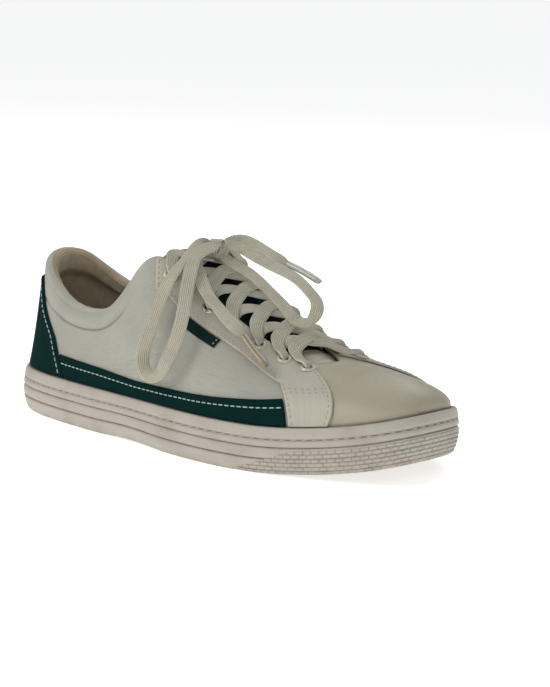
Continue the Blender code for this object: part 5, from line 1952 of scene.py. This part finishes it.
    def build_knot(self, finishes: Finishes) -> Object:
        """Makes the knot: a turn of lace round the loops' roots, a second across it and a packed core.

        Args:
            finishes: The shoe's materials.

        Returns:
            The knot.
        """
        turn = np.linspace(0, math.tau, 49)[:-1]
        reach = np.array(self.knot_shape) * self.knot_radius
        wraps = []
        for tilt, size, width in ((0.35, 0.98, LACE_WIDTH), (1.75, 0.86, 0.0064)):
            axis = np.array([math.cos(tilt), math.sin(tilt), 0.0])
            lean = np.array([-axis[1], axis[0], 0.0])
            line = lean * np.cos(turn)[:, None] + np.array([0, 0, 1.0]) * np.sin(turn)[:, None]
            line = line * reach * size + axis * (0.0010 * np.sin(turn))[:, None] + self.knot()
            line = np.concatenate([line, line[:1]])
            out = np.cross(unit(np.roll(line[:-1], -1, 0) - np.roll(line[:-1], 1, 0)), axis)
            wraps.append(Ribbon("wrap", line, np.concatenate([out, out[:1]]), width, 0.0013).build())
        rows, columns = 17, 32
        around, down = np.linspace(0, math.tau, columns + 1)[:-1], np.linspace(0.05, math.pi - 0.05, rows)
        theta, phi = np.meshgrid(around, down)
        ball = np.stack([np.cos(theta) * np.sin(phi), np.sin(theta) * np.sin(phi), np.cos(phi)], -1)
        ridge = 1 + 0.05 * np.sin(6 * theta + 3 * phi)
        ball = ball * reach * (0.86 * ridge)[..., None] + self.knot()
        ball = ball.reshape(-1, 3)
        faces = ring_net(rows, columns) + [cap[::-1] for cap in end_caps(rows, columns)]
        core = mesh_object("lace_knot_wound", ball, faces, ball[:, :2])
        return place_piece(join([core, *wraps]), finishes.lace, ["lace_knot"])

    def build_cord(self, name: str, finishes: Finishes, extra: Sequence[Object]) -> None:
        """Args:
            name: The node that it stands for.
            finishes: The shoe's materials.
            extra: Pieces that go with it; not used.
        """
        line = self.cord_line(name)
        run = run_along(line)
        facing, turned = self.faces[name]
        ahead = unit(np.gradient(line, axis=0))
        flat = unit(np.array(facing) - ahead * (ahead @ np.array(facing))[:, None])
        sway = np.radians(turned) * np.sin(run / run[-1] * math.tau * 1.5 + 0.6)
        up = flat * np.cos(sway)[:, None] + np.cross(ahead, flat) * np.sin(sway)[:, None]
        is_end = self.routes[name][1] is None
        width = self.width * (0.72 + 0.28 * ease(run / 0.012))
        if is_end:
            width = width + (0.0031 - width) * ease((run - run[-1] + self.tip_length + 0.007) / 0.007)
        else:
            width = width * (0.72 + 0.28 * ease((run[-1] - run) / 0.012))
        made = Ribbon(f"{name}_flat", line, up, width, self.thickness).build()
        place_piece(made, finishes.lace, [name])
        goes = list(extra)
        if is_end:
            finish = finishes.tan_film if "lateral" in name else finishes.clear_film
            goes.append(self.tip(f"{name}_tip", line, run, finish))

    def tip(self, name: str, line: Grid, run: Grid, finish: Material) -> Object:
        """The film wrapped round a lace's end.

        Args:
            name: The piece's name.
            line: The end's centreline.
            run: The distance along it.
            finish: Its film.

        Returns:
            The tip.
        """
        stations, sides = 24, 20
        at = run[-1] - self.tip_length * np.linspace(1, 0, stations)
        middle = np.stack([np.interp(at, run, line[:, k]) for k in range(3)], -1)
        ahead = unit(np.gradient(middle, axis=0))
        side = unit(np.cross(ahead, (0.2, 0.1, 1.0)))
        up = np.cross(side, ahead)
        size = self.tip_radius * np.concatenate([[0.93, 1.04], np.full(stations - 5, 1.0), [0.98, 0.9, 0.7]])
        turn = np.arange(sides) * math.tau / sides
        spoke = side[:, None] * np.cos(turn)[None, :, None] * 1.15 + up[:, None] * np.sin(turn)[None, :, None] * 0.9
        points = (middle[:, None] + spoke * size[:, None, None]).reshape(-1, 3)
        faces = ring_net(stations, sides) + end_caps(stations, sides)
        return place_piece(mesh_object(name, points, faces, points[:, :2]), finish)

    def build(self, finishes: Finishes) -> None:
        """Makes the whole lace.

        Args:
            finishes: The shoe's materials.
        """
        knot = self.build_knot(finishes)
        for name in self.routes:
            self.build_cord(name, finishes, [knot] if name == "lace_loop_lateral" else [])
        self.build_bars(finishes)


@dataclass
class Studio:
    """A pale floor, soft light and the camera at the photograph's angle."""

    azimuth: float = 42.89
    elevation: float = 10.03
    roll: float = 1.10
    distance: float = 1.0517
    target: tuple = (0.0372, 0.0, 0.0548)
    lens: float = 107.98
    floor_size: float = 240.0

    def camera(self) -> None:
        """Places the camera, level with its roll, on a 36 mm sensor."""
        a, e, roll = (math.radians(v) for v in (self.azimuth, self.elevation, self.roll))
        back = Vector((math.sin(a) * math.cos(e), -math.cos(a) * math.cos(e), math.sin(e)))
        level = Vector((math.cos(a), math.sin(a), 0))
        up = back.cross(level)
        right = level * math.cos(roll) + up * math.sin(roll)
        top = up * math.cos(roll) - level * math.sin(roll)
        lens = bpy.data.cameras.new("camera")
        lens.lens, lens.sensor_width, lens.clip_start, lens.clip_end = self.lens, 36.0, 0.01, 400.0
        made = bpy.data.objects.new("camera", lens)
        rows = (
            (right.x, top.x, back.x, self.target[0] + back.x * self.distance),
            (right.y, top.y, back.y, self.target[1] + back.y * self.distance),
            (right.z, top.z, back.z, self.target[2] + back.z * self.distance),
            (0, 0, 0, 1),
        )
        made.matrix_world = Matrix(rows)
        bpy.context.scene.collection.objects.link(made)
        bpy.context.scene.camera = made

    def lamp(self, name: str, place: Sequence[float], size: float, power: float, colour: str) -> None:
        """One soft square lamp turned to the shoe.

        Args:
            name: The lamp's name.
            place: Where it stands, in metres.
            size: Its side, in metres.
            power: Its power in watts.
            colour: Its sRGB hex colour.
        """
        light = bpy.data.lights.new(name, "AREA")
        light.size, light.energy, light.color = size, power, linear(colour)[:3]
        made = bpy.data.objects.new(name, light)
        made.location = place
        made.rotation_euler = (Vector((0, 0, 0.04)) - Vector(place)).to_track_quat("-Z", "Y").to_euler()
        bpy.context.scene.collection.objects.link(made)

    def floor(self) -> None:
        """Lays the pale floor."""
        half = self.floor_size / 2
        points = np.array([(-half, -half, 0), (half, -half, 0), (half, half, 0), (-half, half, 0)], float)
        made = mesh_object("floor", points, [(0, 1, 2, 3)], points[:, :2])
        # Matt paper sweep, nearly white, lit a little from within as a backlit sheet is.
        paper = Plain("matt_white_paper", "#f4f4f2", 0.9, shade="#efefed", speck=0.4).make()
        shader = paper.node_tree.nodes["Principled BSDF"]
        shader.inputs["Emission Color"].default_value = linear("#ffffff")
        shader.inputs["Emission Strength"].default_value = 0.58
        made.data.materials.append(paper)

    def light(self) -> None:
        """Sets an even pale sky and three soft lamps."""
        world = bpy.data.worlds.new("sky")
        world.use_nodes = True
        sky = world.node_tree.nodes["Background"]
        sky.inputs["Color"].default_value = linear("#f2f4f6")
        sky.inputs["Strength"].default_value = 0.42
        bpy.context.scene.world = world
        self.lamp("key", (-0.75, -1.30, 1.45), 1.1, 17.0, "#fffdf8")
        self.lamp("fill", (1.30, -0.90, 0.95), 1.4, 5.0, "#f6f8ff")
        self.lamp("rim", (-0.25, 1.25, 1.30), 1.2, 8.0, "#ffffff")

    def build(self) -> None:
        """Makes the studio."""
        self.camera()
        self.floor()
        self.light()
        bpy.context.scene.view_settings.view_transform = "Standard"


def main() -> None:
    """Builds the studio and the shoe, piece by piece."""
    logging.basicConfig(level=logging.INFO, format="%(name)s: %(message)s")
    Studio().build()
    finishes = Finishes()
    Lacing().build(finishes)
    builders: list[Callable[[Finishes], None]] = [Sole().build, Upper().build, Footbed().build, Tongue().build]
    builders += [Counter().build, Label().build]
    for side in Side:
        builders += [Band(side=side).build, Eyestay(side=side).build, EyeletRow(side).build]
    for build in builders:
        build(finishes)


if __name__ == "__main__":
    main()
